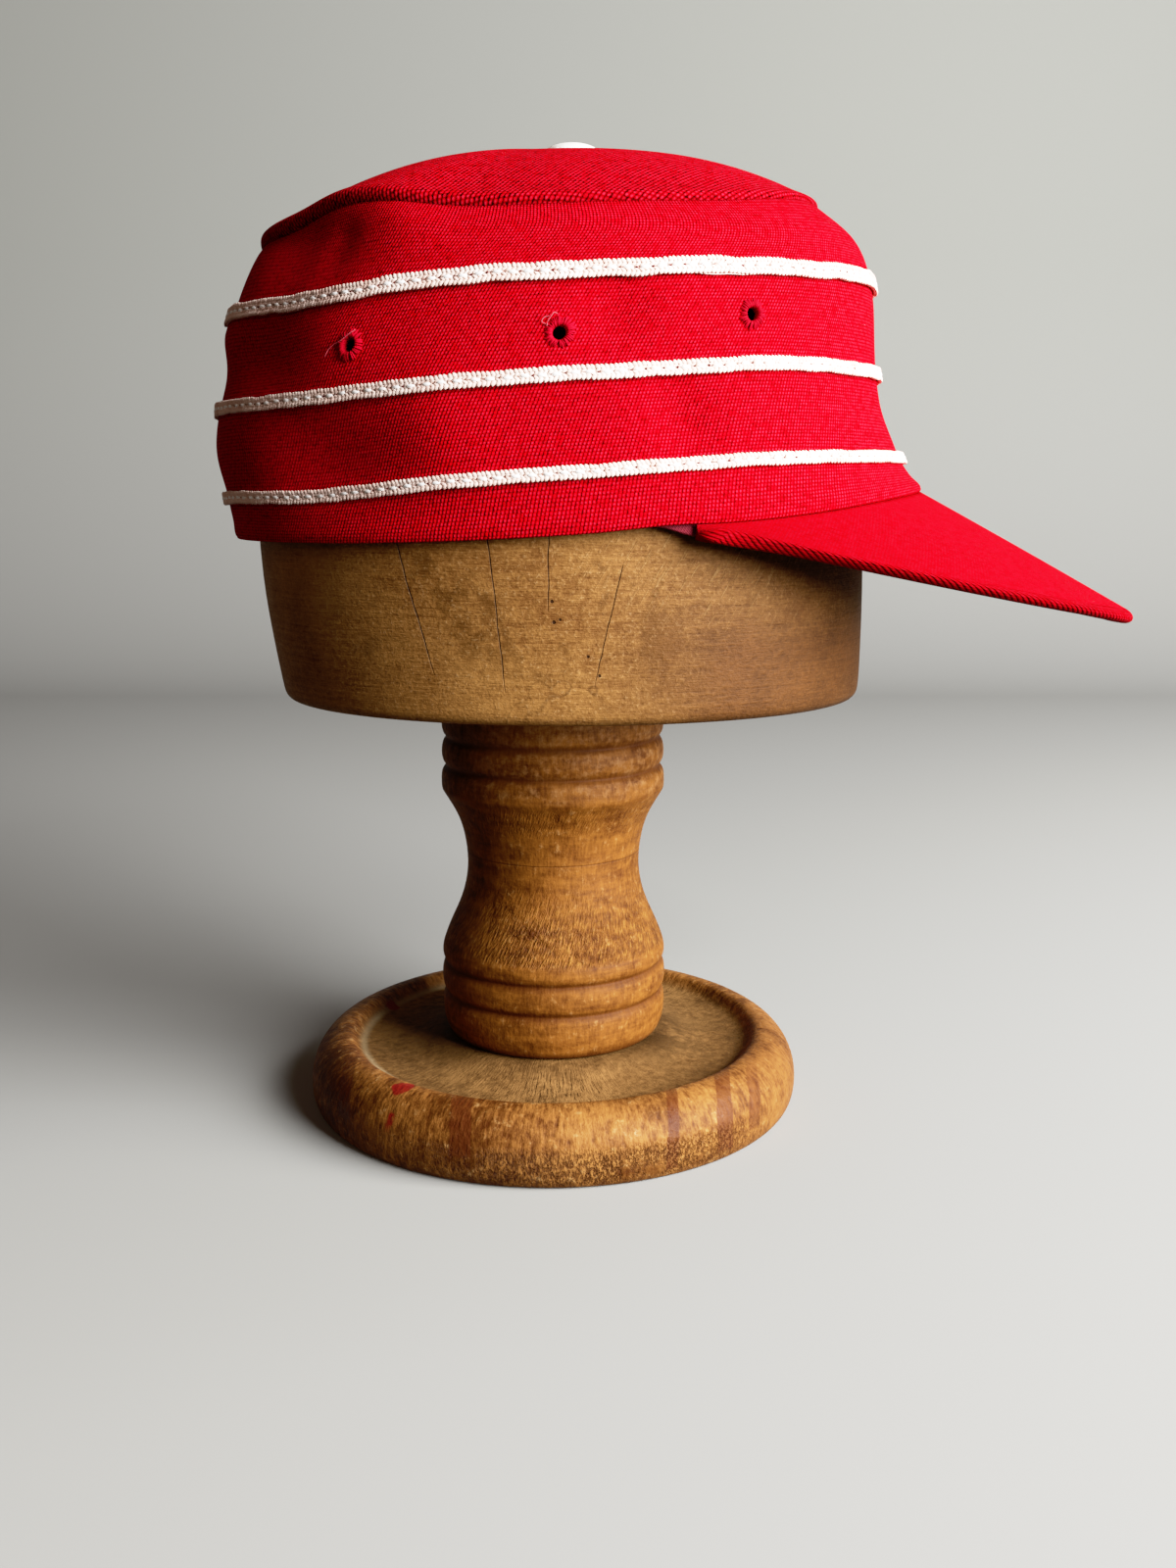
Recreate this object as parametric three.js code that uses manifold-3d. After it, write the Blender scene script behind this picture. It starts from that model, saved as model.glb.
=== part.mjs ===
import * as THREE from 'three';
import { mergeVertices } from 'three/addons/utils/BufferGeometryUtils.js';
import Module from 'manifold-3d';

// A cloth pillbox cap resting on a turned wooden hat stand. Millimetres, +Z up.
// The peak points to +X, -Y is the cap's right-hand side, and the origin is the middle of
// the stand's underside.

const clothThickness = 1.6;
const seatGap = 0.3;
const mergeReach = 1e-4;
const turnSteps = 60;
const fullTurn = 2 * Math.PI;
const degree = Math.PI / 180;

// Side band of the crown, one row for each level from the rim to the top seam.
// frontX and backX are the ends of the oval on the centre line, halfWidth its reach to each side.
const bandOvals = [
  { frontX: 112.4, backX: -95.5, halfWidth: 83 },
  { frontX: 105.6, backX: -97.8, halfWidth: 84 },
  { frontX: 97.8, backX: -99.2, halfWidth: 84.5 },
  { frontX: 95.2, backX: -94, halfWidth: 82 },
  { frontX: 90.5, backX: -86.5, halfWidth: 79 },
  { frontX: 78.2, backX: -83, halfWidth: 74 },
];

// Height of each of those levels at the front, side and back, and what it gains on an even
// curve between them at the front and the back quarters.
const bandHeights = [
  { front: 194.1, side: 182.2, back: 179.5, frontGain: -0.8, backGain: 0 },
  { front: 202.9, side: 197.6, back: 191.5, frontGain: 0.9, backGain: -1.9 },
  { front: 226.9, side: 221.2, back: 216.4, frontGain: 1.1, backGain: -1.1 },
  { front: 252.4, side: 246.5, back: 242.8, frontGain: 0, backGain: -1.5 },
  { front: 264, side: 257.3, back: 259.8, frontGain: -0.6, backGain: 1.5 },
  { front: 274.5, side: 264.1, back: 263.7, frontGain: -1.3, backGain: 5 },
];
const quarter = { frontTurn: 55, backTurn: 129, reach: 20 };
const levelStep = 1 / (bandOvals.length - 1);
const bandRises = [0, 0.1, 0.2, 0.27, 0.34, 0.4, 0.48, 0.56, 0.62, 0.71, 0.8, 0.9, 1];

// Soft dents of the side band, negative depth for a swell. turn is the angle in degrees from
// the front, negative on the right-hand side, and rise runs from 0 at the rim to 1 at the seam.
const bandFolds = [
  { turn: -131, rise: 0.9, turnReach: 8, riseReach: 0.16, depth: 2.0 },
  { turn: -112, rise: 0.9, turnReach: 10, riseReach: 0.14, depth: -0.9 },
  { turn: -121, rise: 0.3, turnReach: 14, riseReach: 0.1, depth: 1.4 },
  { turn: -72, rise: 0.3, turnReach: 7, riseReach: 0.12, depth: 1.2 },
  { turn: -150, rise: 0.5, turnReach: 14, riseReach: 0.07, depth: 1.2 },
  { turn: 180, rise: 0.335, turnReach: 32, riseReach: 0.05, depth: -1.6 },
  { turn: 180, rise: 0.47, turnReach: 34, riseReach: 0.06, depth: 1.3 },
  { turn: 180, rise: 0.56, turnReach: 34, riseReach: 0.045, depth: -1.6 },
  { turn: 0, rise: 0.33, turnReach: 30, riseReach: 0.06, depth: 0.9 },
  { turn: 126, rise: 0.86, turnReach: 9, riseReach: 0.16, depth: 1.8 },
  { turn: 84, rise: 0.3, turnReach: 11, riseReach: 0.11, depth: 1.3 },
];

// The rim lifts a little beside each corner of the peak.
const rimLift = { turn: 77, turnReach: 7, height: 0.6 };

// Top panel: a dome whose edge stands up as a soft roll, highest at the back. The roll reaches
// furthest over the seam at its bulge, a share of its lift.
const dome = {
  middleX: 6.4,
  topZ: 290.2,
  fullness: { front: 2.6, side: 2.1, back: 2.3 },
  outerReaches: [0.2, 0.4, 0.58, 0.74, 0.87, 0.95],
  innerReaches: [0.3, 0.6, 0.85],
};
const roll = {
  lift: { front: 1.4, side: 0.5, back: 4.4 },
  over: { front: 0.4, side: 0.2, back: 2.4 },
  bulge: 0.75,
};

const button = { radius: 9, height: 3.8, skirt: 1.2, undercut: 0.6, reaches: [0.85, 0.65, 0.4], sides: 20 };

const braid = { thickness: 1.3, bevel: 0.45 };
const braidRows = [
  { name: 'braid_lower', rise: levelStep, width: 3.5 },
  { name: 'braid_middle', rise: 2 * levelStep, width: 3.7 },
  { name: 'braid_upper', rise: 3 * levelStep, width: 4.4 },
];

// Thread-worked eyelets, the same three on each side of the crown.
const eyelet = { hole: 1.7, barrel: 2.4, flange: 4.3, proud: 0.9, lip: 0.6, bevel: 0.5, sides: 10 };
const punchLength = 8 * clothThickness;
const eyeletRows = [
  { name: 'back', turn: 120.3, rise: 0.492 },
  { name: 'middle', turn: 87.2, rise: 0.478 },
  { name: 'front', turn: 56.3, rise: 0.498 },
];

// Peak: a cloth-covered plate from the rim to a rounded front edge.
const peak = {
  cornerTurn: 74,
  cornerReach: 5,
  tipX: 178,
  tipZ: 157.1,
  edgeFall: 2,
  plumpness: 0.94,
  bow: 0.2,
  thickness: 4.4,
  cornerThickness: 2.2,
  nose: 1.5,
  rootInset: 0.6,
  upperRuns: [0, 0.25, 0.5, 0.75, 0.97],
  lowerRuns: [0.97, 0.66, 0.33, 0],
  stations: 26,
};

const sweatband = { thickness: 1.2, rises: [0, 0.2], drop: 0.9 };

// Wooden block inside the crown, one row for each level up to the shoulder. Above that it
// follows the underside of the top panel, which it carries at the middle.
const blockLevels = [
  { z: 131.5, frontX: 92.5, backX: -80.5, halfWidth: 74.5 },
  { z: 134.5, frontX: 95.5, backX: -83.5, halfWidth: 77.5 },
  { z: 152.9, frontX: 95.8, backX: -86.6, halfWidth: 78.5 },
  { z: 172, frontX: 95.8, backX: -89.3, halfWidth: 79 },
  { z: 215, frontX: 93.5, backX: -90, halfWidth: 79 },
  { z: 243, frontX: 91, backX: -88.5, halfWidth: 77 },
  { z: 257, frontX: 85, backX: -80, halfWidth: 72 },
];
const blockReaches = [0.84, 0.66, 0.45, 0.22];
const blockSlack = 0.8;
const blockSteps = 44;

// Turned foot of the stand: radius and height of each point of the profile.
const baseFloorZ = 19;
const baseProfile = [
  { radius: 0, z: 0 },
  { radius: 74.5, z: 0 },
  { radius: 77.4, z: 2.4 },
  { radius: 79, z: 7.5 },
  { radius: 78.4, z: 13 },
  { radius: 75.6, z: 18 },
  { radius: 71.5, z: 21.2 },
  { radius: 67.5, z: 21.9 },
  { radius: 65, z: 20.6 },
  { radius: 62.8, z: 18 },
  { radius: 52, z: 17.2 },
  { radius: 38, z: 18.6 },
  { radius: 34, z: baseFloorZ },
  { radius: 0, z: baseFloorZ },
];
const columnFootZ = baseFloorZ + seatGap;
const columnTopZ = blockLevels[0].z - seatGap;
const columnProfile = [
  { radius: 0, z: columnFootZ },
  { radius: 33.4, z: columnFootZ },
  { radius: 35.4, z: 24 },
  { radius: 36, z: 30.4 },
  { radius: 34.4, z: 32.2 },
  { radius: 36.1, z: 34.4 },
  { radius: 36.1, z: 41.2 },
  { radius: 34.6, z: 43.2 },
  { radius: 36, z: 45.4 },
  { radius: 35.8, z: 50.4 },
  { radius: 33.4, z: 57 },
  { radius: 30.2, z: 63.4 },
  { radius: 28.1, z: 70 },
  { radius: 27.2, z: 77.5 },
  { radius: 28.2, z: 86 },
  { radius: 30.1, z: 92.5 },
  { radius: 33, z: 97.6 },
  { radius: 35.4, z: 101.2 },
  { radius: 35.4, z: 106.2 },
  { radius: 33.6, z: 108.8 },
  { radius: 35.2, z: 111.2 },
  { radius: 35.2, z: 115.4 },
  { radius: 33.6, z: 118 },
  { radius: 35.3, z: 120.6 },
  { radius: 35.3, z: columnTopZ },
  { radius: 0, z: columnTopZ },
];
const latheSteps = 28;

const redCloth = new THREE.MeshStandardMaterial({ color: '#cf0a1c', roughness: 0.85, metalness: 0 });
const redThread = new THREE.MeshStandardMaterial({ color: '#b80f20', roughness: 0.75, metalness: 0 });
const whiteBraid = new THREE.MeshStandardMaterial({ color: '#f1ebe6', roughness: 0.8, metalness: 0 });
const paleBand = new THREE.MeshStandardMaterial({ color: '#e6c8bc', roughness: 0.85, metalness: 0 });
const blockWood = new THREE.MeshStandardMaterial({ color: '#a07a48', roughness: 0.6, metalness: 0 });
const stainedWood = new THREE.MeshStandardMaterial({ color: '#96571f', roughness: 0.5, metalness: 0 });
const footWood = new THREE.MeshStandardMaterial({ color: '#94652f', roughness: 0.55, metalness: 0 });

const wasm = await Module();
wasm.setup();

// Value that runs smoothly from the back through the side to the front as the turn does.
function roundCrown({ front, side, back }, turn) {
  const along = Math.cos(turn);
  return side + ((front - back) / 2) * along + ((front + back) / 2 - side) * along * along;
}

function ovalPoint(level, turn, z) {
  const middleX = (level.frontX + level.backX) / 2;
  const halfLength = (level.frontX - level.backX) / 2;
  return new THREE.Vector3(middleX + halfLength * Math.cos(turn), level.halfWidth * Math.sin(turn), z);
}

// 1 at the middle of a soft feature, falling to 0 away from it.
function fade(distance, reach) {
  return Math.exp(-((distance / reach) ** 2));
}

function turnBetween(turn, degrees) {
  const difference = turn - degrees * degree;
  return Math.atan2(Math.sin(difference), Math.cos(difference)) / degree;
}

function foldDepth(turn, rise) {
  return bandFolds.reduce((sum, fold) => {
    const across = fade(turnBetween(turn, fold.turn), fold.turnReach);
    return sum + fold.depth * across * fade(rise - fold.rise, fold.riseReach);
  }, 0);
}

// 1 at a turn to the left and the same turn to the right, falling to 0 away from them.
function bothSides(turn, degrees, reach) {
  return Math.max(fade(turnBetween(turn, degrees), reach), fade(turnBetween(turn, -degrees), reach));
}

function rimLiftAt(turn, rise) {
  const beside = bothSides(turn, rimLift.turn, rimLift.turnReach);
  return rimLift.height * beside * Math.max(0, 1 - rise / levelStep);
}

// Outer face of the side band before its folds.
function bandFace(turn, rise) {
  const front = bothSides(turn, quarter.frontTurn, quarter.reach);
  const back = bothSides(turn, quarter.backTurn, quarter.reach);
  const points = bandOvals.map((oval, level) => {
    const heights = bandHeights[level];
    const gain = front * heights.frontGain + back * heights.backGain;
    return ovalPoint(oval, turn, roundCrown(heights, turn) + gain);
  });
  return new THREE.CatmullRomCurve3(points).getPoint(THREE.MathUtils.clamp(rise, 0, 1));
}

// Directions on the side band: up along the cloth, and straight out of it.
function bandAxes(turn, rise) {
  const step = 0.01;
  const round = bandFace(turn + step, rise).sub(bandFace(turn - step, rise)).normalize();
  const up = bandFace(turn, rise + step).sub(bandFace(turn, rise - step)).normalize();
  return { up, out: new THREE.Vector3().crossVectors(round, up).normalize() };
}

function bandPoint(turn, rise, outset = 0) {
  const point = bandFace(turn, rise);
  point.z += rimLiftAt(turn, rise);
  return point.addScaledVector(bandAxes(turn, rise).out, outset - foldDepth(turn, rise));
}

// Leaves one closed body with merged corners and its faces pointing out.
function closedBody(geometry) {
  geometry.deleteAttribute('normal');
  geometry.deleteAttribute('uv');
  const body = mergeVertices(geometry, mergeReach);
  const place = body.getAttribute('position');
  const corner = [0, 1, 2].map(() => new THREE.Vector3());
  const kept = [];
  let volume = 0;
  for (let i = 0; i < body.index.count; i += 3) {
    const triple = [0, 1, 2].map((offset) => body.index.getX(i + offset));
    if (new Set(triple).size === 3) {
      kept.push(triple);
      triple.forEach((vertex, side) => corner[side].fromBufferAttribute(place, vertex));
      volume += corner[0].dot(corner[1].clone().cross(corner[2]));
    }
  }
  body.setIndex(kept.flatMap(([a, b, c]) => (volume > 0 ? [a, b, c] : [a, c, b])));
  return body;
}

// Joins closed loops of points, one after the other, into a body. Where the ends meet it is a
// ring, and otherwise the first and last loops are drawn together to a point.
function skin(loops, endsMeet) {
  const count = loops[0].length;
  const index = [];
  const bands = endsMeet ? loops.length : loops.length - 1;
  for (let band = 0; band < bands; band++) {
    const next = (band + 1) % loops.length;
    for (let side = 0; side < count; side++) {
      const beside = (side + 1) % count;
      const a = band * count + side;
      const b = band * count + beside;
      const c = next * count + beside;
      const d = next * count + side;
      index.push(a, b, c, a, c, d);
    }
  }
  const geometry = new THREE.BufferGeometry();
  const place = loops.flat().flatMap((point) => point.toArray());
  geometry.setAttribute('position', new THREE.Float32BufferAttribute(place, 3));
  geometry.setIndex(index);
  return closedBody(geometry);
}

function turnsOf(steps) {
  return Array.from({ length: steps }, (_, step) => (step / steps) * fullTurn);
}

// A section of the side band, carried once round the crown.
function crownRing(sectionAt) {
  return skin(turnsOf(turnSteps).map(sectionAt), true);
}

function toManifold(geometry) {
  const vertProperties = new Float32Array(geometry.getAttribute('position').array);
  const triVerts = new Uint32Array(geometry.index.array);
  return new wasm.Manifold(new wasm.Mesh({ numProp: 3, vertProperties, triVerts }));
}

function fromManifold(solid) {
  const mesh = solid.getMesh();
  const geometry = new THREE.BufferGeometry();
  geometry.setAttribute('position', new THREE.Float32BufferAttribute(mesh.vertProperties, 3));
  geometry.setIndex(Array.from(mesh.triVerts));
  return geometry;
}

function lathe(profile, steps) {
  const points = profile.map((row) => new THREE.Vector2(row.radius, row.z));
  return closedBody(new THREE.LatheGeometry(points, steps));
}

// Every eyelet with its place on the crown and the direction that it faces.
const eyelets = [
  { side: 'near', sign: -1 },
  { side: 'far', sign: 1 },
].flatMap(({ side, sign }) =>
  eyeletRows.map((row) => {
    const turn = sign * row.turn * degree;
    return {
      name: `eyelet_${side}_${row.name}`,
      place: bandPoint(turn, row.rise),
      facing: new THREE.Quaternion().setFromUnitVectors(
        new THREE.Vector3(0, 1, 0),
        bandAxes(turn, row.rise).out,
      ),
    };
  }),
);

function crownSide() {
  const wall = crownRing((turn) => [
    ...bandRises.map((rise) => bandPoint(turn, rise)),
    ...bandRises.toReversed().map((rise) => bandPoint(turn, rise, -clothThickness)),
  ]);
  const punch = new THREE.CylinderGeometry(
    eyelet.barrel + seatGap,
    eyelet.barrel + seatGap,
    punchLength,
    eyelet.sides,
  );
  return fromManifold(
    eyelets.reduce((solid, { place, facing }) => {
      const matrix = new THREE.Matrix4().compose(place, facing, new THREE.Vector3(1, 1, 1));
      return solid.subtract(toManifold(closedBody(punch.clone().applyMatrix4(matrix))));
    }, toManifold(wall)),
  );
}

// Where the top panel's edge lies inside the side band, and the way out of the crown there.
function panelEdge(turn) {
  const edge = bandPoint(turn, 1, -clothThickness - seatGap);
  const out = new THREE.Vector3(edge.x - dome.middleX, edge.y, 0).normalize();
  return {
    edge,
    out,
    lift: roundCrown(roll.lift, turn),
    over: roundCrown(roll.over, turn),
  };
}

// Point of the dome at a share of the way from its middle to its edge.
function domePoint(turn, reach, lowered = 0) {
  const { edge, lift } = panelEdge(turn);
  const rimZ = edge.z + lift;
  const fullness = roundCrown(dome.fullness, turn);
  return new THREE.Vector3(
    THREE.MathUtils.lerp(dome.middleX, edge.x, reach),
    edge.y * reach,
    dome.topZ - (dome.topZ - rimZ) * reach ** fullness - lowered,
  );
}

function crownTop() {
  const turns = turnsOf(turnSteps);
  const domeLoop = (reach, lowered) => turns.map((turn) => domePoint(turn, reach, lowered));
  const edgeLoop = (place) => turns.map((turn) => place(panelEdge(turn)));
  const outer = [0, ...dome.outerReaches].map((reach) => domeLoop(reach, 0));
  const inner = [0, ...dome.innerReaches].map((reach) => domeLoop(reach, clothThickness));
  const rollTop = edgeLoop(({ edge, out, lift, over }) =>
    edge.clone().addScaledVector(out, over).setZ(edge.z + lift * roll.bulge),
  );
  const lip = edgeLoop(({ edge }) => edge);
  const lipInside = edgeLoop(({ edge, out }) => edge.clone().addScaledVector(out, -clothThickness));
  return skin([...outer, rollTop, lip, lipInside, ...inner.toReversed()], false);
}

function topButton() {
  const crownHeight = button.height - button.skirt;
  const crownRadius = (button.radius ** 2 + crownHeight ** 2) / (2 * crownHeight);
  const crownRow = (reach) => {
    const radius = button.radius * reach;
    const fall = crownRadius - Math.sqrt(crownRadius ** 2 - radius ** 2);
    return { radius, z: button.height - fall };
  };
  const foot = [
    { radius: 0, z: 0 },
    { radius: button.radius - button.undercut, z: 0 },
  ];
  return lathe([...foot, ...[1, ...button.reaches, 0].map(crownRow)], button.sides);
}

function braidRing(rise, width) {
  return crownRing((turn) => {
    const base = bandPoint(turn, rise);
    const { up, out } = bandAxes(turn, rise);
    const corner = (height, outset) =>
      base.clone().addScaledVector(up, height).addScaledVector(out, outset);
    const half = width / 2;
    const face = seatGap + braid.thickness;
    return [
      corner(-half, seatGap),
      corner(half, seatGap),
      corner(half - braid.bevel, face - braid.bevel),
      corner(0, face),
      corner(-half + braid.bevel, face - braid.bevel),
    ];
  });
}

function eyeletRing() {
  const rows = [
    { radius: eyelet.hole, z: -clothThickness },
    { radius: eyelet.barrel, z: -clothThickness },
    { radius: eyelet.barrel, z: seatGap },
    { radius: eyelet.flange, z: seatGap },
    { radius: eyelet.flange - eyelet.bevel, z: seatGap + eyelet.proud - eyelet.bevel / 2 },
    { radius: eyelet.hole + eyelet.lip, z: seatGap + eyelet.proud },
  ];
  return lathe([...rows, rows[0]], eyelet.sides);
}

function peakEdge(share) {
  const corner = bandPoint(peak.cornerTurn * degree, 0);
  const angle = (share * Math.PI) / 2;
  const startX = corner.x + peak.cornerReach;
  return new THREE.Vector3(
    startX + (peak.tipX - startX) * Math.cos(angle) ** peak.plumpness,
    corner.y * Math.sign(share) * Math.abs(Math.sin(angle)) ** peak.plumpness,
    peak.tipZ + (corner.z - peak.tipZ) * Math.abs(share) ** peak.edgeFall,
  );
}

// Upper face of the peak: share runs from corner to corner, run from the rim to the front edge.
function peakFace(share, run) {
  const root = bandPoint(share * peak.cornerTurn * degree, 0, -peak.rootInset);
  root.z -= seatGap;
  const point = root.lerp(peakEdge(share), run);
  point.z += peak.bow * Math.sin(run * Math.PI) * (1 - share ** 2);
  return point;
}

function peakAxes(share, run) {
  const step = 0.01;
  const forward = peakFace(share, run + step).sub(peakFace(share, run - step)).normalize();
  const across = peakFace(share + step, run).sub(peakFace(share - step, run)).normalize();
  return { forward, up: new THREE.Vector3().crossVectors(forward, across).normalize() };
}

// Section of the peak from the rim to its round nose and back underneath.
function peakSection(share) {
  const thickness = THREE.MathUtils.lerp(peak.thickness, peak.cornerThickness, share ** 2);
  const lowerFace = (run) => peakFace(share, run).addScaledVector(peakAxes(share, run).up, -thickness);
  const tip = peakAxes(share, peak.lowerRuns[0]);
  const nose = peakFace(share, 1)
    .addScaledVector(tip.up, -thickness / 2)
    .addScaledVector(tip.forward, peak.nose);
  return [...peak.upperRuns.map((run) => peakFace(share, run)), nose, ...peak.lowerRuns.map(lowerFace)];
}

function peakPlate() {
  const reach = 1 - 1 / peak.stations;
  const sections = Array.from({ length: peak.stations + 1 }, (_, station) =>
    peakSection(reach * ((2 * station) / peak.stations - 1)),
  );
  const corner = (share) => {
    const point = peakFace(share, 0.5).setZ(peakFace(share, 0).z - peak.cornerThickness / 2);
    return sections[0].map(() => point);
  };
  return skin([corner(-1), ...sections, corner(1)], false);
}

function sweatbandRing() {
  const face = -clothThickness - seatGap;
  const lowered = (turn, rise, outset) => {
    const point = bandPoint(turn, rise, outset);
    point.z -= rimLiftAt(turn, rise) + (rise === 0 ? sweatband.drop : 0);
    return point;
  };
  return crownRing((turn) => [
    ...sweatband.rises.map((rise) => lowered(turn, rise, face)),
    ...sweatband.rises.toReversed().map((rise) => lowered(turn, rise, face - sweatband.thickness)),
  ]);
}

function standBlock() {
  const turns = turnsOf(blockSteps);
  const underside = clothThickness + seatGap;
  const foot = blockLevels[0];
  const middle = new THREE.Vector3((foot.frontX + foot.backX) / 2, 0, foot.z);
  return skin(
    [
      turns.map(() => middle),
      ...blockLevels.map((level) => turns.map((turn) => ovalPoint(level, turn, level.z))),
      ...blockReaches.map((reach) => turns.map((turn) => domePoint(turn, reach, underside + blockSlack))),
      turns.map(() => domePoint(0, 0, underside)),
    ],
    false,
  );
}

const cap = new THREE.Group();
const stand = new THREE.Group();

function addPiece(group, name, geometry, material) {
  const mesh = new THREE.Mesh(geometry, material);
  mesh.name = name;
  group.add(mesh);
  return mesh;
}

// A lathe turns about Y, so what stands upright is tipped onto Z.
function standUpright(mesh, x = 0, z = 0) {
  mesh.rotation.x = Math.PI / 2;
  mesh.position.set(x, 0, z);
}

addPiece(cap, 'crown_side', crownSide(), redCloth);
addPiece(cap, 'crown_top', crownTop(), redCloth);
standUpright(addPiece(cap, 'top_button', topButton(), whiteBraid), dome.middleX, dome.topZ + seatGap);
braidRows.forEach(({ name, rise, width }) => addPiece(cap, name, braidRing(rise, width), whiteBraid));
eyelets.forEach(({ name, place, facing }) => {
  const mesh = addPiece(cap, name, eyeletRing(), redThread);
  mesh.position.copy(place);
  mesh.quaternion.copy(facing);
});
addPiece(cap, 'peak', peakPlate(), redCloth);
addPiece(cap, 'sweatband', sweatbandRing(), paleBand);
addPiece(stand, 'stand_block', standBlock(), blockWood);
standUpright(addPiece(stand, 'stand_column', lathe(columnProfile, latheSteps), stainedWood));
standUpright(addPiece(stand, 'stand_base', lathe(baseProfile, latheSteps), footWood));

const capOnStand = new THREE.Group();
capOnStand.add(cap, stand);

export default capOnStand;
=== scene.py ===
import math

import bpy
import numpy as np
from mathutils import Matrix, Vector


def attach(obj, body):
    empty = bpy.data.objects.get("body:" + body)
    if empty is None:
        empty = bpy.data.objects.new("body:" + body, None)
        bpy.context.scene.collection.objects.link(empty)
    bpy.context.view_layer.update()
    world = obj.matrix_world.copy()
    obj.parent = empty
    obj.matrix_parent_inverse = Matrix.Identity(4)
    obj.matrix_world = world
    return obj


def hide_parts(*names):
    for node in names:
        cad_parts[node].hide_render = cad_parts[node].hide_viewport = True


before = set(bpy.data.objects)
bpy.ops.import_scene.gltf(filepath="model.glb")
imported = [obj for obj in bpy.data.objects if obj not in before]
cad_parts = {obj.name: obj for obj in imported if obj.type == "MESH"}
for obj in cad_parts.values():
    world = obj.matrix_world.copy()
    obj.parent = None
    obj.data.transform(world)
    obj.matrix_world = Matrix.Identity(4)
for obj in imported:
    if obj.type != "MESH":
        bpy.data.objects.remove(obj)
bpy.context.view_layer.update()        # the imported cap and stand, in metres, peak towards +X
mm = 0.001
fullTurn = 2 * math.pi
print("frame loaded with", len(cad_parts), "pieces")


# Camera: the photograph's own view, with its focal length in pixels of a 1600 pixel long side
camera = {"place": (0.0112, -0.466, 0.1907), "pitch": 10.81, "focal": 1513, "longSide": 1600, "sensor": 36}


def addCamera():
    tip = math.radians(90 - camera["pitch"])
    bpy.ops.object.camera_add(location=camera["place"], rotation=(tip, 0, 0))
    made = bpy.context.object
    made.data.sensor_width = camera["sensor"]
    made.data.lens = camera["focal"] * camera["sensor"] / camera["longSide"]
    bpy.context.scene.camera = made


addCamera()
print("camera placed")


# Shader maths: a Shade is one output in a material, and an expression on Shades adds Math nodes
def operation(name):
    def method(self, *values):
        return self.finish.node("Math", {"operation": name}, dict(enumerate((self, *values))))
    return method


class Shade:
    def __init__(self, finish, socket):
        self.finish = finish
        self.socket = socket

    __add__ = __radd__ = operation("ADD")
    __sub__ = operation("SUBTRACT")
    __mul__ = operation("MULTIPLY")
    __truediv__ = operation("DIVIDE")
    __pow__ = operation("POWER")
    __abs__ = operation("ABSOLUTE")
    sin = operation("SINE")
    floor = operation("FLOOR")
    fract = operation("FRACT")
    larger = operation("MAXIMUM")
    smaller = operation("MINIMUM")
    angleFrom = operation("ARCTAN2")

    def __rsub__(self, value):
        return self.finish.node("Math", {"operation": "SUBTRACT"}, {0: value, 1: self})

    def other(self, name):
        return Shade(self.finish, self.socket.node.outputs[name])

    def ease(self, low, high):    # 0 below low and 1 above high, with a soft step between them
        limits = {"Value": self, "From Min": low, "From Max": high}
        return self.finish.node("MapRange", {"interpolation_type": "SMOOTHSTEP"}, limits)

    def near(self, place, reach):    # 1 at a place, falling softly to 0 at its reach
        return 1 - abs(self - place).ease(0, reach)


class Finish:
    def __init__(self, name):
        self.material = bpy.data.materials.new(name)
        self.material.use_nodes = True
        self.nodes = self.material.node_tree.nodes
        self.links = self.material.node_tree.links
        self.shader = self.nodes["Principled BSDF"]

    def feed(self, socket, value):
        if isinstance(value, Shade):
            self.links.new(value.socket, socket)
        else:
            socket.default_value = value

    def node(self, kind, settings=None, inputs=None, output=0):
        made = self.nodes.new("ShaderNode" + kind)
        for name, value in (settings or {}).items():
            setattr(made, name, value)
        for name, value in (inputs or {}).items():
            self.feed(made.inputs[name], value)
        return Shade(self, made.outputs[output])

    def set(self, **values):
        for name, value in values.items():
            self.feed(self.shader.inputs[shaderSockets[name]], value)

    def place(self):    # Object coordinates, in metres
        return self.node("TexCoord", output="Object")

    def parts(self, vector):
        split = self.node("SeparateXYZ", inputs={0: vector})
        return split, split.other("Y"), split.other("Z")

    def vector(self, x, y, z):
        return self.node("CombineXYZ", inputs={0: x, 1: y, 2: z})

    def noise(self, vector, scale, detail=2.0, roughness=0.5):
        inputs = {"Vector": vector, "Scale": scale, "Detail": detail, "Roughness": roughness}
        return self.node("TexNoise", {"noise_dimensions": "3D"}, inputs)

    def mix(self, factor, low, high):    # low and high are Shades or screen colours
        low, high = [colour(end) if isinstance(end, str) else end for end in (low, high)]
        return self.node("Mix", {"data_type": "RGBA"}, {0: factor, 6: low, 7: high}, output=2)

    def bump(self, height, distance):
        self.set(normal=self.node("Bump", inputs={"Height": height, "Distance": distance}))


shaderSockets = {
    "colour": "Base Color", "roughness": "Roughness", "normal": "Normal", "specular": "Specular IOR Level",
    "coat": "Coat Weight", "coatRoughness": "Coat Roughness",
}


def colour(text):    # a screen colour such as a27541 as the linear colour that a shader takes
    levels = [int(text[i:i + 2], 16) / 255 for i in (0, 2, 4)]
    return (*[v / 12.92 if v <= 0.04045 else ((v + 0.055) / 1.055) ** 2.4 for v in levels], 1.0)


# Red cloth: rows of short stitches, set off from row to row by a share of a stitch
knit = {
    "row": 0.93 * mm, "stitch": 1.0 * mm, "slant": 0.38, "unevenness": 0.3 * mm, "relief": 0.28 * mm,
    "thread": "ca0012", "glint": "d8253d", "paintedShade": "270002",
}


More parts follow.
